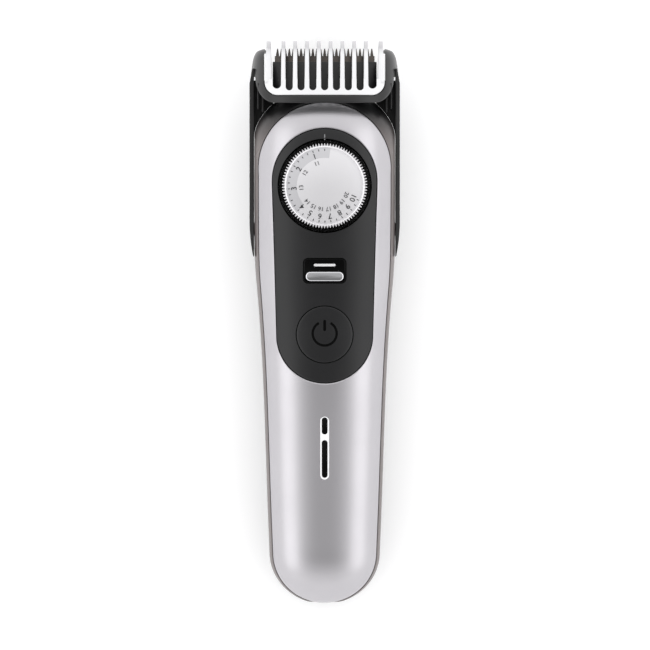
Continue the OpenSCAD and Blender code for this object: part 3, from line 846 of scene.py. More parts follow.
FINISHES: dict[str, Finish] = {
    # painted shade: the silver goes over to near black towards the comb, standing in for the shade and dark
    # reflection where the cover curves away under the hood
    "silver_paint": Finish(
        "metallic silver paint with painted shade", (0.46, 0.448, 0.468), (0.44, 0.428, 0.448), metallic=0.85,
        rough=(0.34, 0.37), grain_scale=9000, grain_depth=0.000002, coat=0.15, coat_rough=0.25,
        painted_shade=(145.5, 152.5), painted_shade_color=(0.13, 0.13, 0.135)),
    "bright_trim": Finish(
        "bright trim", (0.66, 0.66, 0.68), (0.62, 0.62, 0.64), metallic=1.0,
        rough=(0.14, 0.2), grain_scale=6000, grain_depth=0.000001),
    # painted shade: the taupe frame goes over to near black towards the head, standing in for the shade and
    # dark reflection of the hood on its shoulders
    "taupe_plastic": Finish(
        "satin taupe plastic", (0.165, 0.142, 0.138), (0.152, 0.132, 0.128), metallic=0.4,
        rough=(0.36, 0.42), grain_scale=5000, painted_shade=(135.0, 148.5),
        painted_shade_color=(0.012, 0.012, 0.0125)),
    "charcoal_plastic": Finish(
        "fine matte dark plastic", (0.0065, 0.0065, 0.0072), (0.0085, 0.0085, 0.0092),
        rough=(0.38, 0.45), grain_scale=4200, grain_depth=0.000012, specular=0.34),
    "hood_plastic": Finish(
        "satin hood plastic", (0.012, 0.0115, 0.012), (0.015, 0.0145, 0.015),
        rough=(0.3, 0.36), grain_scale=3800, grain_depth=0.000006, specular=0.36),
    "black_gloss": Finish(
        "polished black plastic", (0.0012, 0.0012, 0.0012), (0.002, 0.002, 0.002),
        rough=(0.09, 0.13), grain_scale=1500, grain_depth=0.000001, specular=0.14),
    "black_plastic": Finish(
        "moulded black plastic", (0.005, 0.005, 0.0055), (0.008, 0.008, 0.0085),
        rough=(0.4, 0.5), grain_depth=0.00001, specular=0.35),
    "rubber": Finish(
        "soft rubber", (0.014, 0.014, 0.0145), (0.02, 0.02, 0.0205),
        rough=(0.66, 0.78), grain_scale=3000, grain_depth=0.00002, specular=0.3),
    # painted shade: the tine tips go over to grey where they curve back, away from the light
    "white_plastic": Finish(
        "smooth white plastic", (0.72, 0.72, 0.73), (0.69, 0.69, 0.705),
        rough=(0.3, 0.36), grain_depth=0.000002, specular=0.35,
        painted_shade=(164.8, 167.6), painted_shade_color=(0.54, 0.535, 0.55)),
    "pearl_plastic": Finish(
        "pearl white plastic", (0.78, 0.77, 0.79), (0.75, 0.74, 0.76), metallic=0.6,
        rough=(0.3, 0.36), grain_scale=7000, grain_depth=0.000002, coat=0.2),
    "blade_steel": Finish(
        "ground blade steel", (0.085, 0.075, 0.069), (0.06, 0.053, 0.049), metallic=1.0,
        rough=(0.28, 0.38), grain=Grain.ACROSS, grain_scale=5200, grain_depth=0.000006),
    "steel": Finish(
        "drawn steel", (0.50, 0.50, 0.52), (0.44, 0.44, 0.46), metallic=1.0,
        rough=(0.26, 0.36), grain=Grain.ALONG, grain_scale=3000),
    "brass": Finish(
        "plain brass", (0.62, 0.43, 0.16), (0.56, 0.38, 0.14), metallic=1.0, rough=(0.24, 0.34)),
    "cell_sleeve": Finish(
        "cell sleeve", (0.03, 0.14, 0.34), (0.04, 0.16, 0.37), rough=(0.3, 0.36)),
    "board": Finish(
        "board lacquer", (0.01, 0.09, 0.035), (0.012, 0.1, 0.04), rough=(0.22, 0.3)),
    "print_grey": Finish(
        "grey print", (0.2, 0.2, 0.205), (0.22, 0.22, 0.225), rough=(0.4, 0.5)),
    "print_small": Finish(
        "small dark print", (0.05, 0.05, 0.053), (0.06, 0.06, 0.064), rough=(0.4, 0.5)),
    "print_dark": Finish(
        "dark print", (0.014, 0.014, 0.016), (0.02, 0.02, 0.022), rough=(0.4, 0.5)),
    "print_light": Finish(
        "light print", (0.8, 0.8, 0.81), (0.77, 0.77, 0.78), rough=(0.4, 0.5)),
    "scale_band": Finish(
        "grey scale band", (0.60, 0.595, 0.615), (0.58, 0.575, 0.595), metallic=0.6,
        rough=(0.32, 0.38), grain_scale=7000, grain_depth=0.000002),
}


class Shop:
    """Builds finishes on demand and dresses pieces with them."""

    def __init__(self) -> None:
        """Builds the shared groups and the repeat trees."""
        self.groups = EffectGroups()
        self.made: dict[str, bpy.types.Material] = {}
        self.ring = RingRepeat()
        self.row = LineRepeat("X")
        self.column = LineRepeat("Y")
        self.slots = {part["node"]: part["material_slot"] for part in frame["record"]["subparts"]}

    def finish(self, name: str) -> bpy.types.Material:
        """Material of that name, built the first time it is asked for."""
        if name not in self.made:
            self.made[name] = FINISHES[name].build(self.groups)
        return self.made[name]

    def dress(self, obj: bpy.types.Object, finish: str, body: str,
              replaces: Sequence[str] = (), slot: str | None = None) -> bpy.types.Object:
        """Gives a piece its finish, its body and the CAD nodes it stands for.

        Args:
            obj: the piece.
            finish: name of its finish.
            body: CAD body it rides on.
            replaces: CAD nodes it stands for.
            slot: the record's material slot, where the finish isn't one; not used.

        Returns:
            The same object.
        """
        obj.data.materials.clear()
        obj.data.materials.append(self.finish(finish))
        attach(obj, body)
        if replaces:
            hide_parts(*replaces)
        LOG.info("%s: %d faces on %s", obj.name, len(obj.data.polygons), body)
        return obj

    def dress_cad(self, nodes: Iterable[str]) -> None:
        """Gives the CAD nodes that stay in view their procedural finishes."""
        for node in nodes:
            obj = frame["nodes"][node]
            material = self.finish(self.slots[node])
            if not obj.data.materials:
                obj.data.materials.append(material)
            for i in range(len(obj.material_slots)):
                obj.material_slots[i].material = material
            LOG.info("%s: CAD solid in %s", node, material.name)


# ---------------------------------------------------------------- case


@dataclass(frozen=True)
class Faceplate:
    """Plan of the silver cover and of the control panel set into it."""

    margin: float = 1.1
    top_r: float = 19.9
    top_y: float = 130.8
    tail_drop: float = 0.4
    panel_top_r: float = 15.6
    panel_top_y: float = 127.1
    panel_end_r: float = 14.4
    panel_end_y: float = 81.0
    turn_steps: int = 72
    side_steps: int = 56

    def cover_half(self, s: float) -> float:
        """Half width of the silver cover at station s."""
        return soft_min(CASE.half(s) - self.margin, self.top_r * 1.02)

    def cover_loop(self) -> list[Plan]:
        """Outline of the silver cover.

        Returns:
            Plan points, anticlockwise from its right shoulder.
        """
        end = CASE.tail_l
        sides = steps(self.top_y, end, self.side_steps)[1:-1]
        tail = arc((0, end), self.cover_half(end), end - self.tail_drop, 180, 360, self.turn_steps)
        return (arc((0, self.top_y), self.top_r, self.top_r, 0, 180, self.turn_steps)
                + [(-self.cover_half(s), s) for s in sides] + tail
                + [(self.cover_half(s), s) for s in reversed(sides)])

    def panel_loop(self, grow: float) -> list[Plan]:
        """Outline of the panel, in step with the cover's outline.

        Args:
            grow: how far outside the panel's own edge it runs.

        Returns:
            As many plan points as the cover's outline has.
        """
        top, end = self.panel_top_r + grow, self.panel_end_r + grow
        shares = steps(0, 1, self.side_steps)[1:-1]
        side = [(mix(top, end, t), mix(self.panel_top_y, self.panel_end_y, t)) for t in shares]
        return (arc((0, self.panel_top_y), top, top, 0, 180, self.turn_steps)
                + [(-x, s) for x, s in side]
                + arc((0, self.panel_end_y), end, end, 180, 360, self.turn_steps)
                + list(reversed(side)))

    def panel_half(self, s: float) -> float:
        """Half width of the panel.

        Args:
            s: station.

        Returns:
            The half width there.
        """
        if s > self.panel_top_y:
            return self.panel_top_r * bulge((s - self.panel_top_y) / self.panel_top_r, 2)
        if s < self.panel_end_y:
            return self.panel_end_r * bulge((self.panel_end_y - s) / self.panel_end_r, 2)
        t = (self.panel_top_y - s) / (self.panel_top_y - self.panel_end_y)
        return mix(self.panel_top_r, self.panel_end_r, t)

    def panel_edge(self, x: float, s: float) -> float:
        """How far inside the panel's edge a point lies.

        Args:
            x: its x.
            s: its station.

        Returns:
            The distance to the edge.
        """
        if s > self.panel_top_y:
            return self.panel_top_r - math.hypot(x, s - self.panel_top_y)
        if s < self.panel_end_y:
            return self.panel_end_r - math.hypot(x, s - self.panel_end_y)
        return self.panel_half(s) - abs(x)


PLATE = Faceplate()


@dataclass
class Case:
    """Silver cover, control panel, side frame, back cover, grip and screws."""

    shop: Shop
    seam: float = 0.15
    edge_r: float = 0.45
    panel_t: float = 3.4
    panel_edge_r: float = 0.3
    indicator: Plan = (0.0, 47.0)
    slot: tuple[float, float, float] = (2.8, 19.0, 1.39)
    grip_r: float = 9.5
    grip_run: tuple[float, float] = (40.0, 110.0)
    grip_t: float = 1.45
    rib_pitch: float = 2.6
    screw_x: float = 8.3
    screw_y: tuple[float, float] = (24.0, 116.0)
    well_r: float = 2.5
    well_z: float = 2.4
    through: tuple[float, float] = (20.0, 50.0)
    dial_hole_r: float = 14.15
    button_hole_r: float = 8.68
    window_hole: tuple[float, float, float] = (13.1, 7.7, 1.55)
    mark_y: float = 140.15
    mark: tuple[float, float, float] = (0.32, 1.7, 0.1)
    lip_r: float = 0.24
    tuck: float = 0.12
    inlet: tuple[float, float, float] = (11.0, 6.6, 3.29)
    inlet_run: tuple[float, float] = (-8.0, 12.0)
    arm_channel: tuple[float, float, float] = (26.1, 103.0, 163.0)
    arm_channel_z: tuple[float, float] = (10.2, 19.8)
    key_slot: tuple[float, float, float] = (21.0, 110.6, 124.9)
    key_slot_z: tuple[float, float] = (13.9, 16.1)

    def front_cover(self) -> None:
        """Silver cover: a crowned ring between the panel and the side frame."""
        inner, outer = PLATE.panel_loop(self.seam), PLATE.cover_loop()
        rims = [0.0, 0.03, 0.1, 0.2, 0.32, self.edge_r, 0.7]
        top: Rows = []
        shares = steps(0, 1, 22)[1:-1]
        for k in range(2 * len(rims) + len(shares)):
            row: list[Point] = []
            for a, b in zip(inner, outer):
                run = math.dist(a, b)
                if k < len(rims):
                    d = rims[k]
                elif k < len(rims) + len(shares):
                    d = mix(rims[-1], run - rims[-1], shares[k - len(rims)])
                else:
                    d = run - rims[2 * len(rims) + len(shares) - 1 - k]
                x, s = mix_plan(a, b, d / run)
                drop = roll(min(d, run - d), self.edge_r)
                row.append((x, s, CASE.front_z(x, s) - drop))
            top.append(row)
        bottom = [[(x, s, CASE.front_z(x, s) - CASE.wall) for x, s, _ in row] for row in top]
        cover = MeshKit.slab("front_cover_shell", top, bottom, wrap=True)
        hole = MeshKit.column("slot", slot_plan(self.indicator, *self.slot), *self.through)
        MeshKit.cut(cover, [hole])
        self.shop.dress(cover, "silver_paint", "body", ["front_cover"])

    def control_panel(self) -> None:
        """Dark panel with openings for the dial, the lock switch and the button."""
        top_y, end_y = PLATE.panel_top_y, PLATE.panel_end_y
        turns = [math.radians(a) for a in steps(88.5, 0, 26)]
        stations = ([end_y - PLATE.panel_end_r * math.sin(a) for a in turns]
                    + steps(end_y, top_y, 36)[1:-1]
                    + [top_y + PLATE.panel_top_r * math.sin(a) for a in reversed(turns)])
        fans = [math.sin(math.radians(a)) for a in steps(-90, 90, 56)]
        top: Rows = []
        for s in stations:
            half = PLATE.panel_half(s)
            row = []
            for f in fans:
                x = f * half
                drop = roll(PLATE.panel_edge(x, s), self.panel_edge_r)
                row.append((x, s, CASE.front_z(x, s) - drop))
            top.append(row)
        bottom = [[(x, s, CASE.front_z(x, s) - self.panel_t) for x, s, _ in row] for row in top]
        panel = MeshKit.slab("control_panel_face", top, bottom, wrap=False)
        dial, window, button = (FRAME.middle(n) for n in ("length_dial", "lock_window", "power_button"))
        plans = (circle(dial, self.dial_hole_r, 144),
                 slot_plan((0, window[1]), *self.window_hole),
                 circle(button, self.button_hole_r, 120))
        MeshKit.cut(panel, [MeshKit.column("hole", plan, *self.through) for plan in plans])
        self.shop.dress(panel, "charcoal_plastic", "body", ["control_panel"])
        level = CASE.front_z(0, self.mark_y)
        mark = MeshKit.column("dial_index_mark", slot_plan((0, self.mark_y), *self.mark, 2),
                              level - 0.3, level + 0.03)
        self.shop.dress(mark, "print_grey", "body", slot="charcoal_plastic")

    def _frame_path(self) -> list[tuple[Plan, Plan, Plan]]:
        """Right half of the waist, from the head round to the tail.

        Returns:
            Outline point, centre to measure from and cover edge at each place.
        """
        path: list[tuple[Plan, Plan, Plan]] = []
        rise = CASE.case_end - CASE.shoulder_y
        first = 90 - math.degrees(math.asin(rise / CASE.shoulder_r))
        reach = PLATE.top_r + self.seam
        for b in steps(first, 88, 20):
            s = CASE.shoulder_y + CASE.shoulder_r * math.cos(math.radians(b))
            turn = math.radians(81 * (s - CASE.shoulder_y) / rise)
            edge = (reach * math.cos(turn), PLATE.top_y + reach * math.sin(turn))
            path.append(((CASE.half(s), s), (0, CASE.shoulder_y), edge))
        for s in steps(129, 17, 45):
            path.append(((CASE.half(s), s), (0, s), (PLATE.cover_half(s) + self.seam, s)))
        rim_x = CASE.tail_w / 2 - PLATE.margin + self.seam
        rim_y = CASE.tail_l - PLATE.tail_drop + self.seam
        for a in [math.radians(a) for a in steps(0, -89.5, 26)]:
            c, n = math.cos(a), math.sin(a)
            path.append(((CASE.tail_w / 2 * c, CASE.tail_l * (1 + n)), (0, CASE.tail_l),
                         (rim_x * c, CASE.tail_l + rim_y * n)))
        return path

    def _frame_ring(self, p: Plan, c: Plan, q: Plan) -> list[Point]:
        """Section of the side frame at one place on the waist.

        Args:
            p: point of the outline.
            c: centre that the section points to.
            q: edge of the silver cover.

        Returns:
            The closed section, from its lower edge over the front and back inside.
        """
        split, waist = CASE.back_split_z + self.seam, CASE.waist_z
        ring: list[Point] = []
        for z in (split, split + self.tuck, 10.2, 11.4, 12.6, 13.8, 14.6):
            x, s = CASE.pull_in(p, c, waist - z)
            tuck = self.tuck if z == split else 0.0
            x, s = mix_plan((x, s), c, tuck / math.dist((x, s), c))
            ring.append((x, s, z))
        ring.append((*p, waist))
        run = math.dist(p, q)
        for t in (0.02, 0.06, 0.13, 0.23, 0.36, 0.5, 0.64, 0.76):
            x, s = mix_plan(p, q, t)
            ring.append((x, s, CASE.front_z(x, s)))
        for d in (self.lip_r, 0.12, 0.05, 0.0):
            x, s = mix_plan(q, p, d / run)
            ring.append((x, s, CASE.front_z(x, s) - roll(d, self.lip_r)))
        ring.append((*q, max(CASE.front_z(*q) - CASE.wall, waist + 1)))
        inner = mix_plan(p, c, CASE.frame_wall / math.dist(p, c))
        low = CASE.pull_in(p, c, waist - split)
        low_in = mix_plan(low, c, CASE.frame_wall / math.dist(low, c))
        ring += [(*inner, waist + 0.6), (*inner, waist - 1), (*low_in, split)]
        return ring

    def side_frame(self) -> None:
        """Taupe frame round the waist, with channels for the comb arms."""
        right = [self._frame_ring(*w) for w in self._frame_path()]
        left = [[(-x, s, z) for x, s, z in ring] for ring in reversed(right)]
        side = MeshKit.sweep("side_frame_band", right + left)
        cutters = []
        for way in (-1, 1):
            for (x, s0, s1), (z0, z1), half in ((self.arm_channel, self.arm_channel_z, 5),
                                                (self.key_slot, self.key_slot_z, 4.5)):
                cutters.append(block("groove", (way * x - half, s0, z0), (way * x + half, s1, z1)))
        MeshKit.cut(side, cutters)
        inlet = slot_plan((0, CASE.waist_z), *self.inlet)
        hole = MeshKit.sweep("inlet", [[(x, s, z) for x, z in inlet] for s in self.inlet_run])
        MeshKit.cut(side, [hole], folded=True)
        self.shop.dress(side, "taupe_plastic", "body", ["side_frame"])

    def back_cover(self) -> None:
        """Back of the case, with a recess for the grip and four screw wells."""
        depth = CASE.waist_z - CASE.back_split_z
        first, last, wall = 1.7, CASE.case_end, CASE.frame_wall
        stations = [first, 2.1, 2.7, 3.5, 4.6, 6, 8, 10.5, 13, 15.5] + steps(18, 130, 45)
        stations += steps(132, last, 16)
        fans = [math.sin(math.radians(a)) for a in steps(-90, 90, 48)]

        def rim(s: float) -> float:
            """Half width of the cover's edge at station s."""
            return CASE.half(s) * bulge(depth / max(CASE.belly(s), depth + 0.01), CASE.back_round)

        outer = [[(f * rim(s), s, min(CASE.back_z(f * rim(s), s), CASE.back_split_z)) for f in fans]
                 for s in stations]
        inner: Rows = []
        for s in stations:
            back = s + wall * (1 - (s - first) / (last - first))
            row: list[Point] = []
            for f in fans:
                x = f * max(rim(s) - wall, 1)
                rise = (CASE.belly(back) - wall) * bulge(x / (CASE.half(back) - wall), CASE.back_round)
                edge = s == first or abs(f) > 0.999
                top = CASE.back_split_z
                row.append((x, back, top if edge else min(CASE.waist_z - rise, top - 0.01)))
            inner.append(row)
        back_piece = MeshKit.slab("back_cover_shell", inner, outer, wrap=False)
        grip = self.grip_run
        middle = (0, (grip[0] + grip[1]) / 2)
        recess = slot_plan(middle, 19.2, grip[1] - grip[0] + 0.2, 9.59, 20)
        cutters = [MeshKit.column("recess", recess, -1, self.grip_t)]
        for x in (-self.screw_x, self.screw_x):
            for s in self.screw_y:
                well = circle((x, s), self.well_r, 36)
                cutters.append(MeshKit.column("well", well, -1, self.well_z))
        MeshKit.cut(back_piece, cutters)
        self.shop.dress(back_piece, "charcoal_plastic", "body", ["back_cover"])

    def back_grip(self) -> None:
        """Soft pad on the back, with fine ribs across it."""
        low, high = self.grip_run
        middle, long = (0, (low + high) / 2), high - low
        rib_t, rib_w, pad_z = 1.0, 13.0, 0.3
        pad = MeshKit.column("pad", slot_plan(middle, 2 * self.grip_r, long, self.grip_r - 0.01, 24),
                             pad_z, self.grip_t)
        MeshKit.round_edges(pad, 0.25)
        shape = MeshKit.column("rib", slot_plan((0, FRAME.length / 2), rib_w, rib_t, 0.45, 4),
                               0.0, pad_z + 0.1)
        MeshKit.round_edges(shape, 0.12, 2)
        count = int((long - 2 * self.grip_r) / self.rib_pitch) + 4
        start = middle[1] - (count - 1) * self.rib_pitch / 2 - FRAME.length / 2
        ribs = self.shop.column.run("ribs", shape, self.shop.finish("rubber"), count,
                                    start * MM, self.rib_pitch * MM)
        grip = MeshKit.join("back_grip_pad", [pad, ribs])
        self.shop.dress(grip, "rubber", "body", ["back_grip"])

    def screws(self) -> None:
        """Four socket screws that close the back cover."""
        head_r, key_r, low, high, shank_r, shank_z = 2.3, 0.95, 1.5, 2.37, 1.1, 8.5
        rows = []
        for s in self.screw_y:
            profile = [(0, low), (head_r - 0.25, low), (head_r, low + 0.25), (head_r, high),
                       (shank_r, high), (shank_r, shank_z), (0, shank_z)]
            shape = MeshKit.lathe("screw", (0, s), profile, 28)
            key = MeshKit.column("key", circle((0, s), key_r, 6), 0, low + 0.6)
            MeshKit.cut(shape, [key])
            rows.append(self.shop.row.run("screws", shape, self.shop.finish("steel"), 2,
                                          -self.screw_x * MM, 2 * self.screw_x * MM))
        screws = MeshKit.join("case_screw_set", rows)
        self.shop.dress(screws, "steel", "body", ["case_screws"])

    def build(self) -> None:
        """Builds and dresses every piece of the case."""
        self.front_cover()
        self.control_panel()
        self.side_frame()
        self.back_cover()
        self.back_grip()
        self.screws()


# ---------------------------------------------------------------- controls


@dataclass
class LengthDial:
    """Serrated dial with its printed scale, in its black well."""

    shop: Shop
    core_r: float = 11.98
    tip_r: float = 12.72
    serrations: int = 90
    face_r: float = 11.35
    low_z: float = 31.65
    rim_z: float = 37.4
    top_z: float = 37.78
    face_drop: float = 0.8
    bore_r: float = 5.22
    well_r: float = 14.1
    tick_turn: float = 9.5
    ticks: int = 27
    tick_r: float = 10.72
    numeral_r: float = 9.15
    small_r: float = 6.95
    marks: tuple[int, ...] = (2, 6, 10, 14, 16, 18, 20, 22, 24, 26)
    band: tuple[float, float, float, float] = (8.35, 11.3, -9.0, 133.0)

    def face_z(self, r: float) -> float:
        """Height of the domed face at radius r."""
        return self.top_z - self.face_drop * (r / self.face_r) ** 2

    def well(self) -> None:
        """Polished ring round the dial."""
        centre = FRAME.middle("length_dial")
        low, high = FRAME.heights("dial_well")
        profile = [(self.bore_r, low), (self.bore_r, high)]
        profile += [(self.well_r - inside, high + up) for inside, up in
                    ((0.8, 0), (0.35, 0.1), (0.1, 0.35), (0.02, 0.7), (0, 0.7))]
        profile.append((self.well_r, low))
        ring = MeshKit.lathe("dial_well_ring", centre, profile, 144)
        self.shop.dress(ring, "black_gloss", "body", ["dial_well"])

    def wheel(self) -> None:
        """Dial with its domed face, raised rim and serrations."""
        centre = FRAME.middle("length_dial")
        face = [(r, self.face_z(r)) for r in steps(self.face_r, 0, 12)]
        profile = [(0, self.low_z), (self.core_r, self.low_z), (self.core_r, self.rim_z - 0.4),
                   (self.core_r - 0.05, self.rim_z - 0.18), (self.core_r - 0.17, self.rim_z - 0.05),
                   (self.core_r - 0.32, self.rim_z), (self.face_r + 0.2, self.rim_z),
                   (self.face_r + 0.1, self.rim_z - 0.14), *face]
        core = MeshKit.lathe("core", centre, profile, 180)
        low, high, chamfer = self.low_z + 0.15, self.rim_z - 0.3, 0.35
        half = 0.9 * math.pi * self.core_r / self.serrations
        out = self.tip_r - self.core_r
        middle = FRAME.length / 2
        section = [(-half, -0.1), (half, -0.1), (0.1, out), (-0.1, out)]
        rings = []
        for z, reach in ((low, 0.55), (low + chamfer, 1.0), (high - chamfer, 1.0), (high, 0.7)):
            rings.append([(x, middle + (y * reach if y > 0 else y), z) for x, y in section])
        shape = MeshKit.sweep("serration", rings)
        teeth = self.shop.ring.run("serrations", shape, self.shop.finish("pearl_plastic"),
                                   self.serrations, 0.0, 2 * math.pi / self.serrations,
                                   self.core_r * MM)
        self._centre(teeth)
        wheel = MeshKit.join("length_dial_wheel", [core, teeth])
        self.shop.dress(wheel, "pearl_plastic", "dial", ["length_dial"])

    @staticmethod
    def _centre(obj: bpy.types.Object) -> None:
        """Moves a mesh drawn about the origin onto the dial's axis."""
        x, s = FRAME.middle("length_dial")
        obj.data.transform(Matrix.Translation(FRAME.at(x, s, 0)))

    def scale_ticks(self) -> None:
        """Printed ticks of the scale, anticlockwise from the index mark."""
        z = self.face_z(self.tick_r)
        shape = MeshKit.column("tick", slot_plan((0, FRAME.length / 2), 0.24, 0.66, 0.08, 2),
                               z - 0.2, z + 0.05)
        ticks = self.shop.ring.run("dial_scale_ticks", shape, self.shop.finish("print_dark"),
                                   self.ticks, 0.0, math.radians(self.tick_turn),
                                   self.tick_r * MM)
        self._centre(ticks)
        self.shop.dress(ticks, "print_dark", "dial", slot="pearl_plastic")

    def scale_band(self) -> None:
        """Slightly darker band under the short lengths."""
        r0, r1, a0, a1 = self.band
        x0, s0 = FRAME.middle("length_dial")
        radii, turns = steps(r0, r1, 8), [math.radians(a) for a in steps(a0, a1, 70)]

        def sheet(lift: float) -> Rows:
            """Grid of the band at a height over the face."""
            return [[(x0 - r * math.sin(a), s0 + r * math.cos(a), self.face_z(r) + lift)
                     for a in turns] for r in radii]

        band = MeshKit.slab("dial_scale_band", sheet(0.012), sheet(-0.05), wrap=False)
        self.shop.dress(band, "scale_band", "dial", slot="pearl_plastic")

    def numerals(self) -> None:
        """Printed lengths: 1 to 10 outside, 11 to 20 inside."""
        for name, first, radius, size, finish in (
                ("dial_numerals", 1, self.numeral_r, 2.35, "print_dark"),
                ("dial_numerals_small", 11, self.small_r, 1.75, "print_small")):
            parts = []
            for i, tick in enumerate(self.marks):
                turn = math.radians(tick * self.tick_turn)
                parts.append(self._numeral(str(first + i), size, radius, turn))
            print_piece = MeshKit.join(name, parts)
            self.shop.dress(print_piece, finish, "dial", slot="pearl_plastic")

    def _numeral(self, text: str, size: float, radius: float, turn: float) -> bpy.types.Object:
        """One numeral, its top pointing away from the dial's axis.

        Args:
            text: the number.
            size: letter size.
            radius: distance of its middle from the axis.
            turn: angle from +Y, anticlockwise, in radians.

        Returns:
            The numeral as a thin mesh.
        """
        curve_data = bpy.data.curves.new("numeral", "FONT")
        curve_data.body = text
        curve_data.size = size * MM
        curve_data.extrude = 0.03 * MM
        curve_data.offset = 0.014 * MM
        curve_data.align_x = "CENTER"
        curve_data.align_y = "CENTER"
        curve_data.resolution_u = 3
        source = bpy.data.objects.new("numeral", curve_data)
        bpy.context.collection.objects.link(source)
        graph = bpy.context.evaluated_depsgraph_get()
        mesh = bpy.data.meshes.new_from_object(source.evaluated_get(graph), depsgraph=graph)
        bpy.data.objects.remove(source)
        x, s = FRAME.middle("length_dial")
        move = Matrix.Translation((0, radius * MM, 0))
        place = Matrix.Translation(FRAME.at(x, s, self.face_z(radius) + 0.06))
        mesh.transform(place @ Matrix.Rotation(turn, 4, "Z") @ move)
        obj = bpy.data.objects.new("numeral", mesh)
        bpy.context.collection.objects.link(obj)
        MeshKit.heal(obj)
        return obj

    def build(self) -> None:
        """Builds the dial, its well and its print."""
        self.well()
        self.wheel()
        self.scale_band()
        self.scale_ticks()
        self.numerals()


@dataclass
class LockSwitch:
    """Thumb slider that locks the dial, in a black window."""

    shop: Shop
    window: tuple[float, float, float] = (13.0, 7.6, 1.5)
    floor_z: float = 31.2
    rim: float = 0.4
    bar: tuple[float, float, float] = (11.4, 2.9, 1.44)
    bar_z: tuple[float, float] = (31.35, 33.35)
    line: tuple[float, float, float] = (6.5, 0.75, 0.37)
    travel: float = 3.4

    def build(self) -> None:
        """Builds the window, its printed line and the thumb bar."""
        low, high = FRAME.heights("lock_window")
        middle = (0.0, FRAME.middle("lock_window")[1])
        w, h, r = self.window
        tub = MeshKit.column("lock_window_tub", slot_plan(middle, w, h, r, 14), low, high)
        inner = slot_plan(middle, w - 2 * self.rim, h - 2 * self.rim, r - self.rim, 14)
        MeshKit.cut(tub, [MeshKit.column("inside", inner, self.floor_z, high + 1)])
        MeshKit.round_edges(tub, 0.12, 3, 50)
        self.shop.dress(tub, "black_gloss", "body", ["lock_window"])

        bar_s = FRAME.middle("lock_slider")[1]
        bar = MeshKit.column("lock_thumb_bar", slot_plan((0, bar_s), *self.bar, 16), *self.bar_z)
        MeshKit.round_edges(bar, 0.55, 6, 50)
        self.shop.dress(bar, "bright_trim", "lock", ["lock_slider"])

        line = MeshKit.column("lock_printed_line", slot_plan((0, bar_s + self.travel), *self.line, 6),
                              self.floor_z - 0.1, self.floor_z + 0.03)
        self.shop.dress(line, "print_light", "body", slot="black_gloss")


@dataclass
class PowerButton:
    """Round push button with a sunken power sign."""

    shop: Shop
    radius: float = 8.5
    edge_r: float = 0.35
    sign_out: float = 3.95
    sign_in: float = 3.23
    sign_lift: float = 0.3
    gap: float = 29.0
    bar: tuple[float, float] = (0.85, 3.4)
    bar_lift: float = 2.4
    sign_depth: float = 0.3

    def build(self) -> None:
        """Builds the button with its sign."""
        x0, s0 = FRAME.middle("power_button")
        low = FRAME.heights("power_button")[0]
        radii = steps(0, self.radius - self.edge_r, 16) + [self.radius - d for d in (0.22, 0.12, 0.05, 0)]
        turns = [2 * math.pi * i / 120 for i in range(120)]
        top: Rows = []
        for r in radii[1:]:
            row = []
            for a in turns:
                x, s = x0 + r * math.cos(a), s0 + r * math.sin(a)
                row.append((x, s, CASE.front_z(x, s) - roll(self.radius - r, self.edge_r)))
            top.append(row)
        bottom = [(x, s, low) for x, s, _ in top[-1]]
        centre = [(x0, s0, CASE.front_z(x0, s0))] * len(turns)
        rings = [centre, *top, bottom, [(x0, s0, low)] * len(turns)]
        button = MeshKit.sweep("power_button_cap", rings)
        MeshKit.cut(button, self._sign(x0, s0 + self.sign_lift))
        self.shop.dress(button, "charcoal_plastic", "button", ["power_button"])
        inlay = MeshKit.join("power_sign_inlay", self._sign(x0, s0 + self.sign_lift, 0.06))
        self.shop.dress(inlay, "black_gloss", "button")

    def _sign(self, x0: float, s0: float, height: float = 4.0) -> list[bpy.types.Object]:
        """Open ring and bar of the power sign, standing on the floor of the recess.

        Args:
            x0: x of its middle.
            s0: station of its middle.
            height: how tall the two stand.

        Returns:
            The ring and the bar.
        """
        floor = CASE.front_z(x0, s0) - self.sign_depth
        a0, a1 = 90 + self.gap, 450 - self.gap
        outer = arc((x0, s0), self.sign_out, self.sign_out, a0, a1, 72)
        inner = arc((x0, s0), self.sign_in, self.sign_in, a1, a0, 72)
        ring = MeshKit.column("ring", outer + inner, floor, floor + height)
        w, long = self.bar
        plan = slot_plan((x0, s0 + self.bar_lift), w, long, w / 2 - 0.01, 6)
        bar = MeshKit.column("bar", plan, floor, floor + height)
        return [ring, bar]


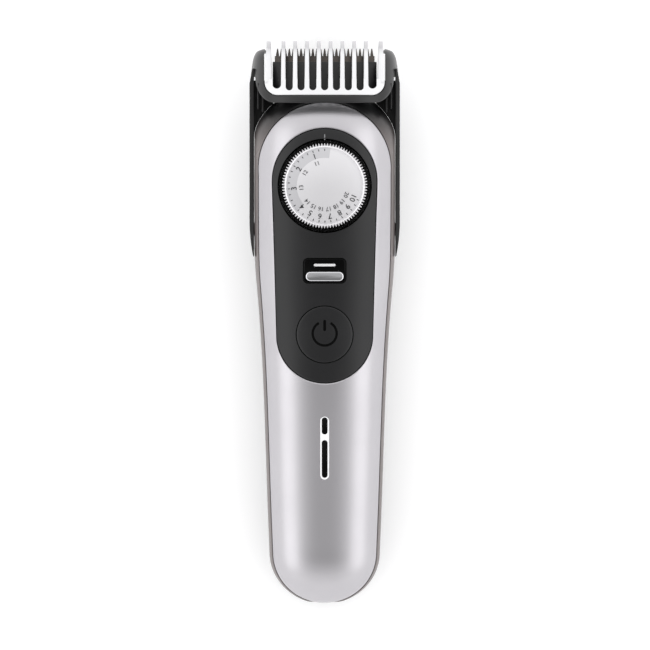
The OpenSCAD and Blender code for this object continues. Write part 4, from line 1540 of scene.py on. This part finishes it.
@dataclass
class ChargeIndicator:
    """Bright bezel with two dark lenses."""

    shop: Shop
    centre: Plan = (0.0, 47.0)
    size: tuple[float, float, float] = (2.7, 18.9, 1.34)
    lens_w: float = 1.75
    upper: tuple[float, float] = (51.1, 56.2)
    lower: tuple[float, float] = (38.1, 49.4)
    proud: float = 0.12

    def _pill(self, name: str, plan: Sequence[Plan], low: float, lift: float) -> bpy.types.Object:
        """Column whose top follows the cover's surface at a given lift."""
        top = [(x, s, CASE.front_z(0, s) + lift) for x, s in plan]
        return MeshKit.sweep(name, [[(x, s, low) for x, s in plan], top])

    def build(self) -> None:
        """Builds the bezel and the lenses."""
        w, long, r = self.size
        bezel = self._pill("indicator_bezel_ring", slot_plan(self.centre, w, long, r, 14), 27.4, self.proud)
        cutters = []
        for s0, s1 in (self.upper, self.lower):
            plan = slot_plan((0, (s0 + s1) / 2), self.lens_w, s1 - s0, self.lens_w / 2 - 0.01, 10)
            cutters.append(MeshKit.column("window", plan, 20, 40))
        MeshKit.cut(bezel, cutters)
        MeshKit.round_edges(bezel, 0.1, 3, 50)
        self.shop.dress(bezel, "print_light", "body", ["indicator_bezel"], "bright_trim")
        for name, node, (s0, s1) in (("indicator_lens_upper", "lens_upper", self.upper),
                                     ("indicator_lens_lower", "lens_lower", self.lower)):
            wide = self.lens_w - 0.08
            plan = slot_plan((0, (s0 + s1) / 2), wide, s1 - s0 - 0.08, wide / 2 - 0.01, 10)
            lens = self._pill(name, plan, 26.2, -0.02)
            MeshKit.round_edges(lens, 0.15, 3, 50)
            self.shop.dress(lens, "black_gloss", "body", [node])


# ---------------------------------------------------------------- comb


@dataclass(frozen=True)
class HoodForm:
    """Surface that the comb's hood, plate and tines share."""

    side_z: float = 10.0
    top: float = 33.9
    crest: float = 149.0
    fall: float = 0.03
    bow: float = 2.8
    plate_half: float = 18.0
    plate_y: float = 152.8
    widths: tuple[Plan, ...] = (
        (144, 22.6), (155, 22.6), (159, 22.25), (162, 21.85), (164.2, 21.45), (165.5, 20.9),
        (166.4, 20.1), (167, 18.4),
    )

    def half(self, s: float) -> float:
        """Half width of the hood at station s."""
        return curve(self.widths, s)

    def ridge(self, s: float) -> float:
        """Height of the hood on the middle line."""
        return self.top - self.fall * (s - self.crest) ** 2

    def z(self, x: float, s: float) -> float:
        """Height of the hood's surface."""
        return self.side_z + (self.ridge(s) - self.side_z) * bulge(x / self.half(s), self.bow)

    def drop(self, x: float) -> float:
        """How far a tine at x lies below the middle line."""
        return (self.ridge(160) - self.side_z) * (1 - bulge(x / self.half(160), self.bow))


HOOD = HoodForm()


@dataclass
class Comb:
    """Length comb: dark hood with two arms, white plate with its tines."""

    shop: Shop
    wall: float = 1.4
    lip_r: float = 0.45
    lip_from: float = 20.0
    lip_run: float = 4.0
    rim_y: float = 150.4
    rim_bow: float = 0.0004
    inner_corner: tuple[float, float, float] = (14.15, 156.65, 4.0)
    outer_corner: tuple[float, float, float, float] = (14.9, 158.2, 5.9, 7.7)
    end_y: float = 167.0
    nose_y: float = 162.0
    arm_in: float = 21.25
    arm_out: float = 22.6
    arm_y: float = 104.5
    arm_end: float = 161.0
    arm_half_z: float = 4.5
    arm_taper: tuple[float, float] = (115.5, 0.009)
    groove_end: float = 115.3
    web_z: tuple[float, float] = (11.0, 13.0)
    web_run: tuple[float, float] = (141.5, 150.6)
    web_gap: float = 0.1
    web_end: float = 157.5
    ribs: tuple[tuple[float, float, float], ...] = ((18.6, 147.9, 0.22), (20.0, 148.8, 0.16))
    rib_end: float = 156.5
    rib_z: tuple[float, float] = (17.0, 24.5)
    slot_w: float = 2.15
    outer_slot: tuple[float, float, float] = (14.35, 2.55, 154.75)
    slot_y: float = 154.2
    gap: float = 3.54
    tine_w: float = 1.39
    outer_tine: tuple[float, float] = (16.85, 2.25)
    tine_depth: float = 3.0
    tip_r: float = 2.2

    def _path(self) -> list[tuple[Plan, Plan]]:
        """Right half of the hood, from the middle to its far corner.

        Returns:
            Point on the plate's edge and point on the outer edge at each place.
        """
        edge_y, edge_x = HOOD.plate_y - 0.15, HOOD.plate_half + 0.15
        path = [((x, edge_y), (x, self.rim_y + self.rim_bow * x * x)) for x in steps(0, 13, 13)]
        x0, s0, r = self.inner_corner
        x1, s1, wide, long = self.outer_corner
        for a in [math.radians(a) for a in steps(0, 90, 24)]:
            path.append(((x0 + r * math.sin(a), s0 - r * math.cos(a)),
                         (x1 + wide * math.sin(a), s1 - long * math.cos(a))))
        path.append(((edge_x, 158.3), (21.5, 158.6)))
        for s in steps(159.2, 165.8, 14) + [166.15, 166.5, 166.8, self.end_y]:
            path.append(((min(edge_x, HOOD.half(s) - 0.1), s), (HOOD.half(s), s)))
        return path

    def hood(self) -> None:
        """Bowed hood with its rounded lip and the arms that run down the body."""
        right = self._path()
        path = [((-a[0], a[1]), (-b[0], b[1])) for a, b in reversed(right[1:])] + right
        turns = [math.radians(a) for a in (0, 2, 6, *steps(12, 78, 12), 82, 85, 87, 88.5, 90)]
        top: Rows = []
        bottom: Rows = []
        for a in turns:
            g = math.degrees(a) / 90
            upper, lower = [], []
            for w0, w1 in path:
                x, s = mix_plan(w0, w1, math.sin(a))
                z = HOOD.z(x, s)
                room = min(max((z - self.lip_from) / self.lip_run, 0), 1)
                edge = min(math.dist((x, s), w1), math.dist((x, s), w0) + 0.12)
                upper.append((x, s, z - room * roll(edge, self.lip_r)))
                up = HOOD.ridge(s) - HOOD.side_z
                bend = max(s - self.nose_y, 0) / (self.end_y - self.nose_y)
                z_in = HOOD.side_z + (z - HOOD.side_z) * (up - self.wall) / up
                lower.append((x * (1 - self.wall * g / HOOD.half(s)),
                              s - 0.8 * self.wall * bend * g, z_in))
            top.append(upper)
            bottom.append(lower)
        parts = [MeshKit.slab("hood shell", top, bottom, wrap=False)]
        for way in (-1, 1):
            parts += [self._arm(way), self._web(way), *self._ribs(way)]
        hood = MeshKit.join("comb_hood_shell", parts)
        self.shop.dress(hood, "hood_plastic", "comb", ["comb_hood"])

    def _arm(self, way: int) -> bpy.types.Object:
        """One arm: a long blade with a groove for the carriage lug.

        Args:
            way: 1 for the right side, -1 for the left.

        Returns:
            The arm.
        """
        inner, mid = way * self.arm_in, CASE.waist_z
        start, bend = self.arm_taper
        thin = [(way * (self.arm_out - bend * max(start - s, 0) ** 2), s)
                for s in steps(self.arm_y, start + 0.5, 10)]
        plan = [(inner, self.arm_end), (inner, self.arm_y), *thin,
                (way * self.arm_out, self.rib_end), (way * 21.8, self.arm_end)]
        arm = MeshKit.column("arm", plan, mid - self.arm_half_z, mid + self.arm_half_z)
        x0, x1 = sorted((inner - way * 1.5, inner + way * 0.8))
        low, high = (x0, self.arm_y - 2, mid - 1), (x1, self.groove_end, mid + 1)
        MeshKit.cut(arm, [block("groove", low, high)])
        return MeshKit.round_edges(arm, 0.2, 2, 50)

    def _web(self, way: int) -> bpy.types.Object:
        """Low wall that joins the arm to the hood round the shoulder of the case.

        Args:
            way: 1 for the right side, -1 for the left.

        Returns:
            The wall.
        """
        inner = [(way * (CASE.half(s) + self.web_gap), s) for s in steps(*self.web_run, 14)]
        plan = [(way * self.arm_in, 140.2), *inner, (way * 15.6, 151.2),
                (way * 15.9, self.web_end), (way * self.arm_in, self.web_end)]
        return MeshKit.column("web", plan, *self.web_z)

    def _ribs(self, way: int) -> list[bpy.types.Object]:
        """Two thin stiffening ribs between the hood and the arm.

        Args:
            way: 1 for the right side, -1 for the left.

        Returns:
            The two ribs.
        """
        ribs = []
        z0, z1 = self.rib_z
        for x, s0, half in self.ribs:
            low, high = (way * x - half, s0, z0), (way * x + half, self.rib_end, z1)
            ribs.append(MeshKit.round_edges(block("rib", low, high), 0.08, 2))
        return ribs

    def _plate(self) -> bpy.types.Object:
        """Root of the tines: a curved strip with rounded slots cut up into it.

        Returns:
            The strip.
        """
        edge_y, far, corner = HOOD.plate_y, 157.6, 4.0
        rows = [0.0, 0.08, 0.2, 0.4, 0.7, 1.1, 1.6, 2.2, 2.8, 3.4, 4.0, 4.4, far - edge_y]
        top: Rows = []
        for d in rows:
            dip = corner - min(d, corner)
            half = HOOD.plate_half - corner + math.sqrt(max(corner**2 - dip**2, 0.0))
            row = []
            for x in [half * math.sin(math.radians(a)) for a in steps(-90, 90, 72)]:
                s = edge_y + d
                row.append((x, s, HOOD.z(x, s) - roll(min(d, half - abs(x)), 0.3)))
            top.append(row)
        bottom = [[(x, s, HOOD.z(x, s) - self.wall) for x, s, _ in row] for row in top]
        plate = MeshKit.slab("plate", top, bottom, wrap=False)
        cutters = [self._slot(i * self.gap, self.slot_w, self.slot_y) for i in range(-3, 4)]
        x, w, y = self.outer_slot
        cutters += [self._slot(way * x, w, y) for way in (-1, 1)]
        return MeshKit.cut(plate, cutters)

    @staticmethod
    def _slot(x: float, w: float, y: float) -> bpy.types.Object:
        """Cutter for one slot between two tines.

        Args:
            x: its middle.
            w: its width.
            y: station of its rounded end.

        Returns:
            The cutter.
        """
        r = w / 2
        plan = arc((x, y + r), r, r, 180, 360, 18) + [(x + r, 162), (x - r, 162)]
        return MeshKit.column("slot", plan, 5, 50)

    def _tine(self, x: float, root_w: float, tip_w: float) -> bpy.types.Object:
        """One tine: a tall blade with rounded edges and a nose that curves back.

        Args:
            x: its middle.
            root_w: width at its root.
            tip_w: width at its tip.

        Returns:
            The tine.
        """
        end, root, drop, square = FRAME.length, 156.8, HOOD.drop(x), 0.35
        nose = end - self.tip_r
        stations = steps(root, nose, 9) + [nose + self.tip_r * math.sin(math.radians(a))
                                           for a in (12, 25, 38, 50, 62, 72, 81, 87.5)]
        rings = []
        for s in stations:
            share = bulge(max(s - nose, 0) / self.tip_r, 2)
            w = mix(root_w, tip_w, (s - root) / (end - root))
            crest = HOOD.ridge(min(s, nose)) - drop
            middle = crest - self.tine_depth / 2
            ring = []
            for i in range(20):
                a = 2 * math.pi * (i + 0.5) / 20
                c, n = math.cos(a), math.sin(a)
                across, up = (math.copysign(abs(v) ** square, v) for v in (c, n))
                ring.append((x + w / 2 * across, s, middle + self.tine_depth / 2 * share * up))
            rings.append(ring)
        return MeshKit.sweep("tine", rings, angle=50)

    def tines(self) -> None:
        """White plate and its ten tines."""
        parts = [self._plate()]
        for way in (-1, 1):
            for i in range(4):
                parts.append(self._tine(way * self.gap * (i + 0.5), self.tine_w, self.tine_w - 0.2))
            x, w = self.outer_tine
            parts.append(self._tine(way * x, w, 1.3))
        plate = MeshKit.join("comb_tine_plate", parts)
        self.shop.dress(plate, "white_plastic", "comb", ["comb_tines"])

    def build(self) -> None:
        """Builds the hood and the tine plate."""
        self.hood()
        self.tines()


# ---------------------------------------------------------------- cutting head


@dataclass
class CuttingHead:
    """Toothed blades, tilted tips down, between the head's two mouldings."""

    shop: Shop
    tilt: float = 20.0
    tip_y: float = 166.8
    tip_z: float = 18.5
    start_y: float = 150.8
    pitch: float = 1.18
    fixed: tuple[float, float, float, float] = (30.0, 12.0, 0.6, 2.4)
    moving: tuple[float, float, float, float] = (26.6, 8.4, 0.45, 1.5)
    moving_back: float = 1.3
    moving_lift: float = 0.65

    def plane(self, s: float) -> float:
        """Height of the plane under the fixed blade."""
        return self.tip_z + (self.tip_y - s) * math.tan(math.radians(self.tilt))

    def _blade(self, name: str, size: tuple[float, float, float, float], back: float,
               lift: float) -> bpy.types.Object:
        """Toothed plate laid in the tilted plane.

        Args:
            name: name of the piece.
            size: width, length, thickness and tooth depth.
            back: how far its tips stand behind the tip line.
            lift: height over the plane.

        Returns:
            The blade.
        """
        w, long, t, depth = size
        middle = FRAME.length / 2
        plan = [(-w / 2, middle - long), (w / 2, middle - long), (w / 2, middle - depth),
                (-w / 2, middle - depth)]
        plate = MeshKit.round_edges(MeshKit.column("plate", plan, 0, t), 0.08, 2)
        half = int((int(w / self.pitch) - 1) / 2)
        tooth = [(-0.48, -depth - 0.05), (0.48, -depth - 0.05), (0.46, -depth + 0.3),
                 (0.17, -0.12), (0.09, 0.0), (-0.09, 0.0), (-0.17, -0.12), (-0.46, -depth + 0.3)]
        plan = [(x, middle + y) for x, y in tooth]
        shape = MeshKit.round_edges(MeshKit.column("tooth", plan, 0, t), 0.05, 1)
        teeth = self.shop.row.run("teeth", shape, self.shop.finish("blade_steel"), 2 * half + 1,
                                  -half * self.pitch * MM, self.pitch * MM)
        blade = MeshKit.join(name, [plate, teeth])
        self._lay(blade, back, lift)
        return blade

    def _lay(self, obj: bpy.types.Object, back: float, lift: float) -> None:
        """Moves a shape drawn flat at the origin into the tilted plane.

        Args:
            obj: the shape.
            back: how far its tips stand behind the tip line.
            lift: height over the plane.
        """
        tilt = Matrix.Rotation(math.radians(-self.tilt), 4, "X")
        tip = Matrix.Translation(FRAME.at(0, self.tip_y, self.tip_z))
        obj.data.transform(tip @ tilt @ Matrix.Translation((0, -back * MM, lift * MM)))

    def cover(self) -> None:
        """Dark moulding over the blades."""
        y0, y1 = self.start_y, 162.9
        profile = [(y0, self.plane(y0) + 1.45), (y1, self.plane(y1) + 1.45),
                   (163.0, self.plane(163) + 2.4), (162.6, self.plane(163) + 2.7), (161.2, 24.2),
                   (156, 27.3), (y0, 28.9)]
        rings = []
        for x, drop in ((-15.6, 3.4), (-14.6, 1.6), (-12.5, 0.3), (-11.5, 0.0),
                        (11.5, 0.0), (12.5, 0.3), (14.6, 1.6), (15.6, 3.4)):
            rings.append([(x, s, max(z - drop, min(z, self.plane(s) + 1.9))) for s, z in profile])
        cover = MeshKit.sweep("head_cover_shell", rings)
        MeshKit.cut(cover, [block("pocket", (-6.5, y0 - 1, 20), (6.5, y0 + 3.3, 26.6))])
        MeshKit.round_edges(cover, 0.3, 3, 35)
        self.shop.dress(cover, "charcoal_plastic", "body", ["head_cover"])

    def build(self) -> None:
        """Builds the blades and the moulding over them."""
        fixed = self._blade("fixed_blade_plate", self.fixed, 0.0, 0.0)
        self.shop.dress(fixed, "blade_steel", "body", ["fixed_blade"])
        moving = self._blade("moving_blade_plate", self.moving, self.moving_back, self.moving_lift)
        neck = block("neck", (-4, FRAME.length / 2 - 15.6, 0), (4, FRAME.length / 2 - 8.6, 0.45))
        self._lay(neck, 0.0, self.moving_lift)
        moving = MeshKit.join("moving_blade_plate", [moving, neck])
        self.shop.dress(moving, "blade_steel", "blade", ["moving_blade"])
        self.cover()


# ---------------------------------------------------------------- inside and studio


INSIDE: tuple[str, ...] = (
    "seal_ring", "dial_bush", "dial_shaft", "dial_pinion", "detent_spring", "comb_carriage",
    "carriage_rails", "slide_switch", "button_plunger", "tact_switch", "indicator_leds",
    "head_base", "blade_spring", "drive_yoke", "motor_can", "motor_shaft", "eccentric_cam",
    "motor_mount", "battery_cell", "battery_clips", "chassis", "circuit_board", "socket_shell",
    "socket_pins",
)


@dataclass
class Studio:
    """Pale floor, soft lights and the camera straight over the trimmer.

    Attributes:
        camera_height: height of the camera, in metres.
        focus_z: height at which the view is view_height wide, in metres.
        view_height: width and height of the view, in metres.
        sensor: width of the camera's sensor, in millimetres.
        aim: point of the floor under the camera.
        floor_size: side of the floor, in metres.
        panels: place, turn in degrees, size and power of each soft panel.
        levels: brightness of the sky, from overhead out to the horizon.
        head_side: range of Y, and what it adds towards the horizon's brightness.
        sky_full: brightness that the sky's ramp is scaled to.
        end_share: how much the way to the ends counts, against the way to the sides.
    """

    camera_height: float = 4.0
    focus_z: float = 0.026
    view_height: float = 0.195
    sensor: float = 36.0
    aim: Plan = (0.0001, -0.0007)
    floor_size: float = 1.6
    panels: tuple[tuple[Point, Point, tuple[float, float], float], ...] = (
        ((-0.75, 0.0, 0.5), (0, -56, 0), (0.6, 1.2), 1.6),
        ((0.75, 0.0, 0.5), (0, 56, 0), (0.6, 1.2), 1.6),
    )
    levels: tuple[Plan, ...] = ((0.0, 0.12), (0.1, 0.5), (0.34, 1.2), (0.7, 1.65), (1.0, 1.2))
    head_side: tuple[float, float, float, float] = (-0.1, 0.3, 0.0, 0.2)
    sky_full: float = 2.0
    end_share: float = 0.5

    def floor(self) -> None:
        """Plain pale floor that the trimmer lies on."""
        half = self.floor_size / 2
        mesh = bpy.data.meshes.new("floor")
        corners = [(-half, -half, 0), (half, -half, 0), (half, half, 0), (-half, half, 0)]
        mesh.from_pydata(corners, [], [(0, 1, 2, 3)])
        floor = bpy.data.objects.new("floor", mesh)
        bpy.context.collection.objects.link(floor)
        paint = bpy.data.materials.new("floor paint")
        paint.use_nodes = True
        shader = paint.node_tree.nodes["Principled BSDF"]
        shader.inputs["Base Color"].default_value = (0.9, 0.9, 0.905, 1)
        shader.inputs["Roughness"].default_value = 0.9
        shader.inputs["Emission Color"].default_value = (1.0, 1.0, 1.0, 1.0)
        shader.inputs["Emission Strength"].default_value = 0.18
        mesh.materials.append(paint)

    def lights(self) -> None:
        """Two soft panels at the sides."""
        for i, (place, turn, size, power) in enumerate(self.panels):
            lamp = bpy.data.lights.new(f"panel {i}", "AREA")
            lamp.shape = "RECTANGLE"
            lamp.size, lamp.size_y = size
            lamp.energy = power
            obj = bpy.data.objects.new(f"panel {i}", lamp)
            obj.location = place
            obj.rotation_euler = [math.radians(a) for a in turn]
            bpy.context.collection.objects.link(obj)

    def sky(self) -> None:
        """Sky that is dim overhead and brightens towards the sides."""
        world = bpy.data.worlds.new("studio")
        world.use_nodes = True
        wiring = Wiring(world.node_tree)
        way = wiring.node("ShaderNodeTexCoord").outputs["Generated"]
        flat = wiring.node("ShaderNodeVectorMath", {0: way, 1: (1.0, self.end_share**0.5, 0.0)},
                           operation="MULTIPLY").outputs["Vector"]
        reach = wiring.node("ShaderNodeVectorMath", {0: flat, 1: flat}, operation="DOT_PRODUCT")
        axes = wiring.node("ShaderNodeSeparateXYZ", {0: way})
        limits = zip(("From Min", "From Max", "To Min", "To Max"), self.head_side)
        lean = wiring.node("ShaderNodeMapRange", {"Value": axes.outputs["Y"], **dict(limits)})
        total = wiring.math("ADD", reach.outputs["Value"], lean.outputs[0])
        ramp = wiring.node("ShaderNodeValToRGB", {0: total})
        ramp.color_ramp.interpolation = "B_SPLINE"
        stops = ramp.color_ramp.elements
        while len(stops) < len(self.levels):
            stops.new(0.5)
        for stop, (place, level) in zip(stops, self.levels):
            stop.position = place
            stop.color = (*[level / self.sky_full] * 3, 1.0)
        background = world.node_tree.nodes["Background"]
        background.inputs["Strength"].default_value = self.sky_full
        wiring.tree.links.new(ramp.outputs["Color"], background.inputs["Color"])
        bpy.context.scene.world = world

    def camera(self) -> None:
        """Camera straight above, with +Y up in its view."""
        data = bpy.data.cameras.new("camera")
        data.sensor_width = self.sensor
        data.lens = self.sensor * (self.camera_height - self.focus_z) / self.view_height
        data.clip_end = 20
        camera = bpy.data.objects.new("camera", data)
        camera.location = (*self.aim, self.camera_height)
        bpy.context.collection.objects.link(camera)
        bpy.context.scene.camera = camera

    def build(self) -> None:
        """Sets up the floor, the lights, the camera and the tones."""
        self.camera()
        self.floor()
        self.lights()
        self.sky()
        bpy.context.scene.view_settings.view_transform = "Standard"


def main() -> None:
    """Builds the trimmer around its CAD frame."""
    logging.basicConfig(level=logging.INFO, format="%(name)s %(message)s")
    shop = Shop()
    Studio().build()
    for assembly in (Case(shop), LengthDial(shop), LockSwitch(shop), PowerButton(shop),
                     ChargeIndicator(shop), Comb(shop), CuttingHead(shop)):
        assembly.build()
    shop.dress_cad(INSIDE)


if __name__ == "__main__":
    main()
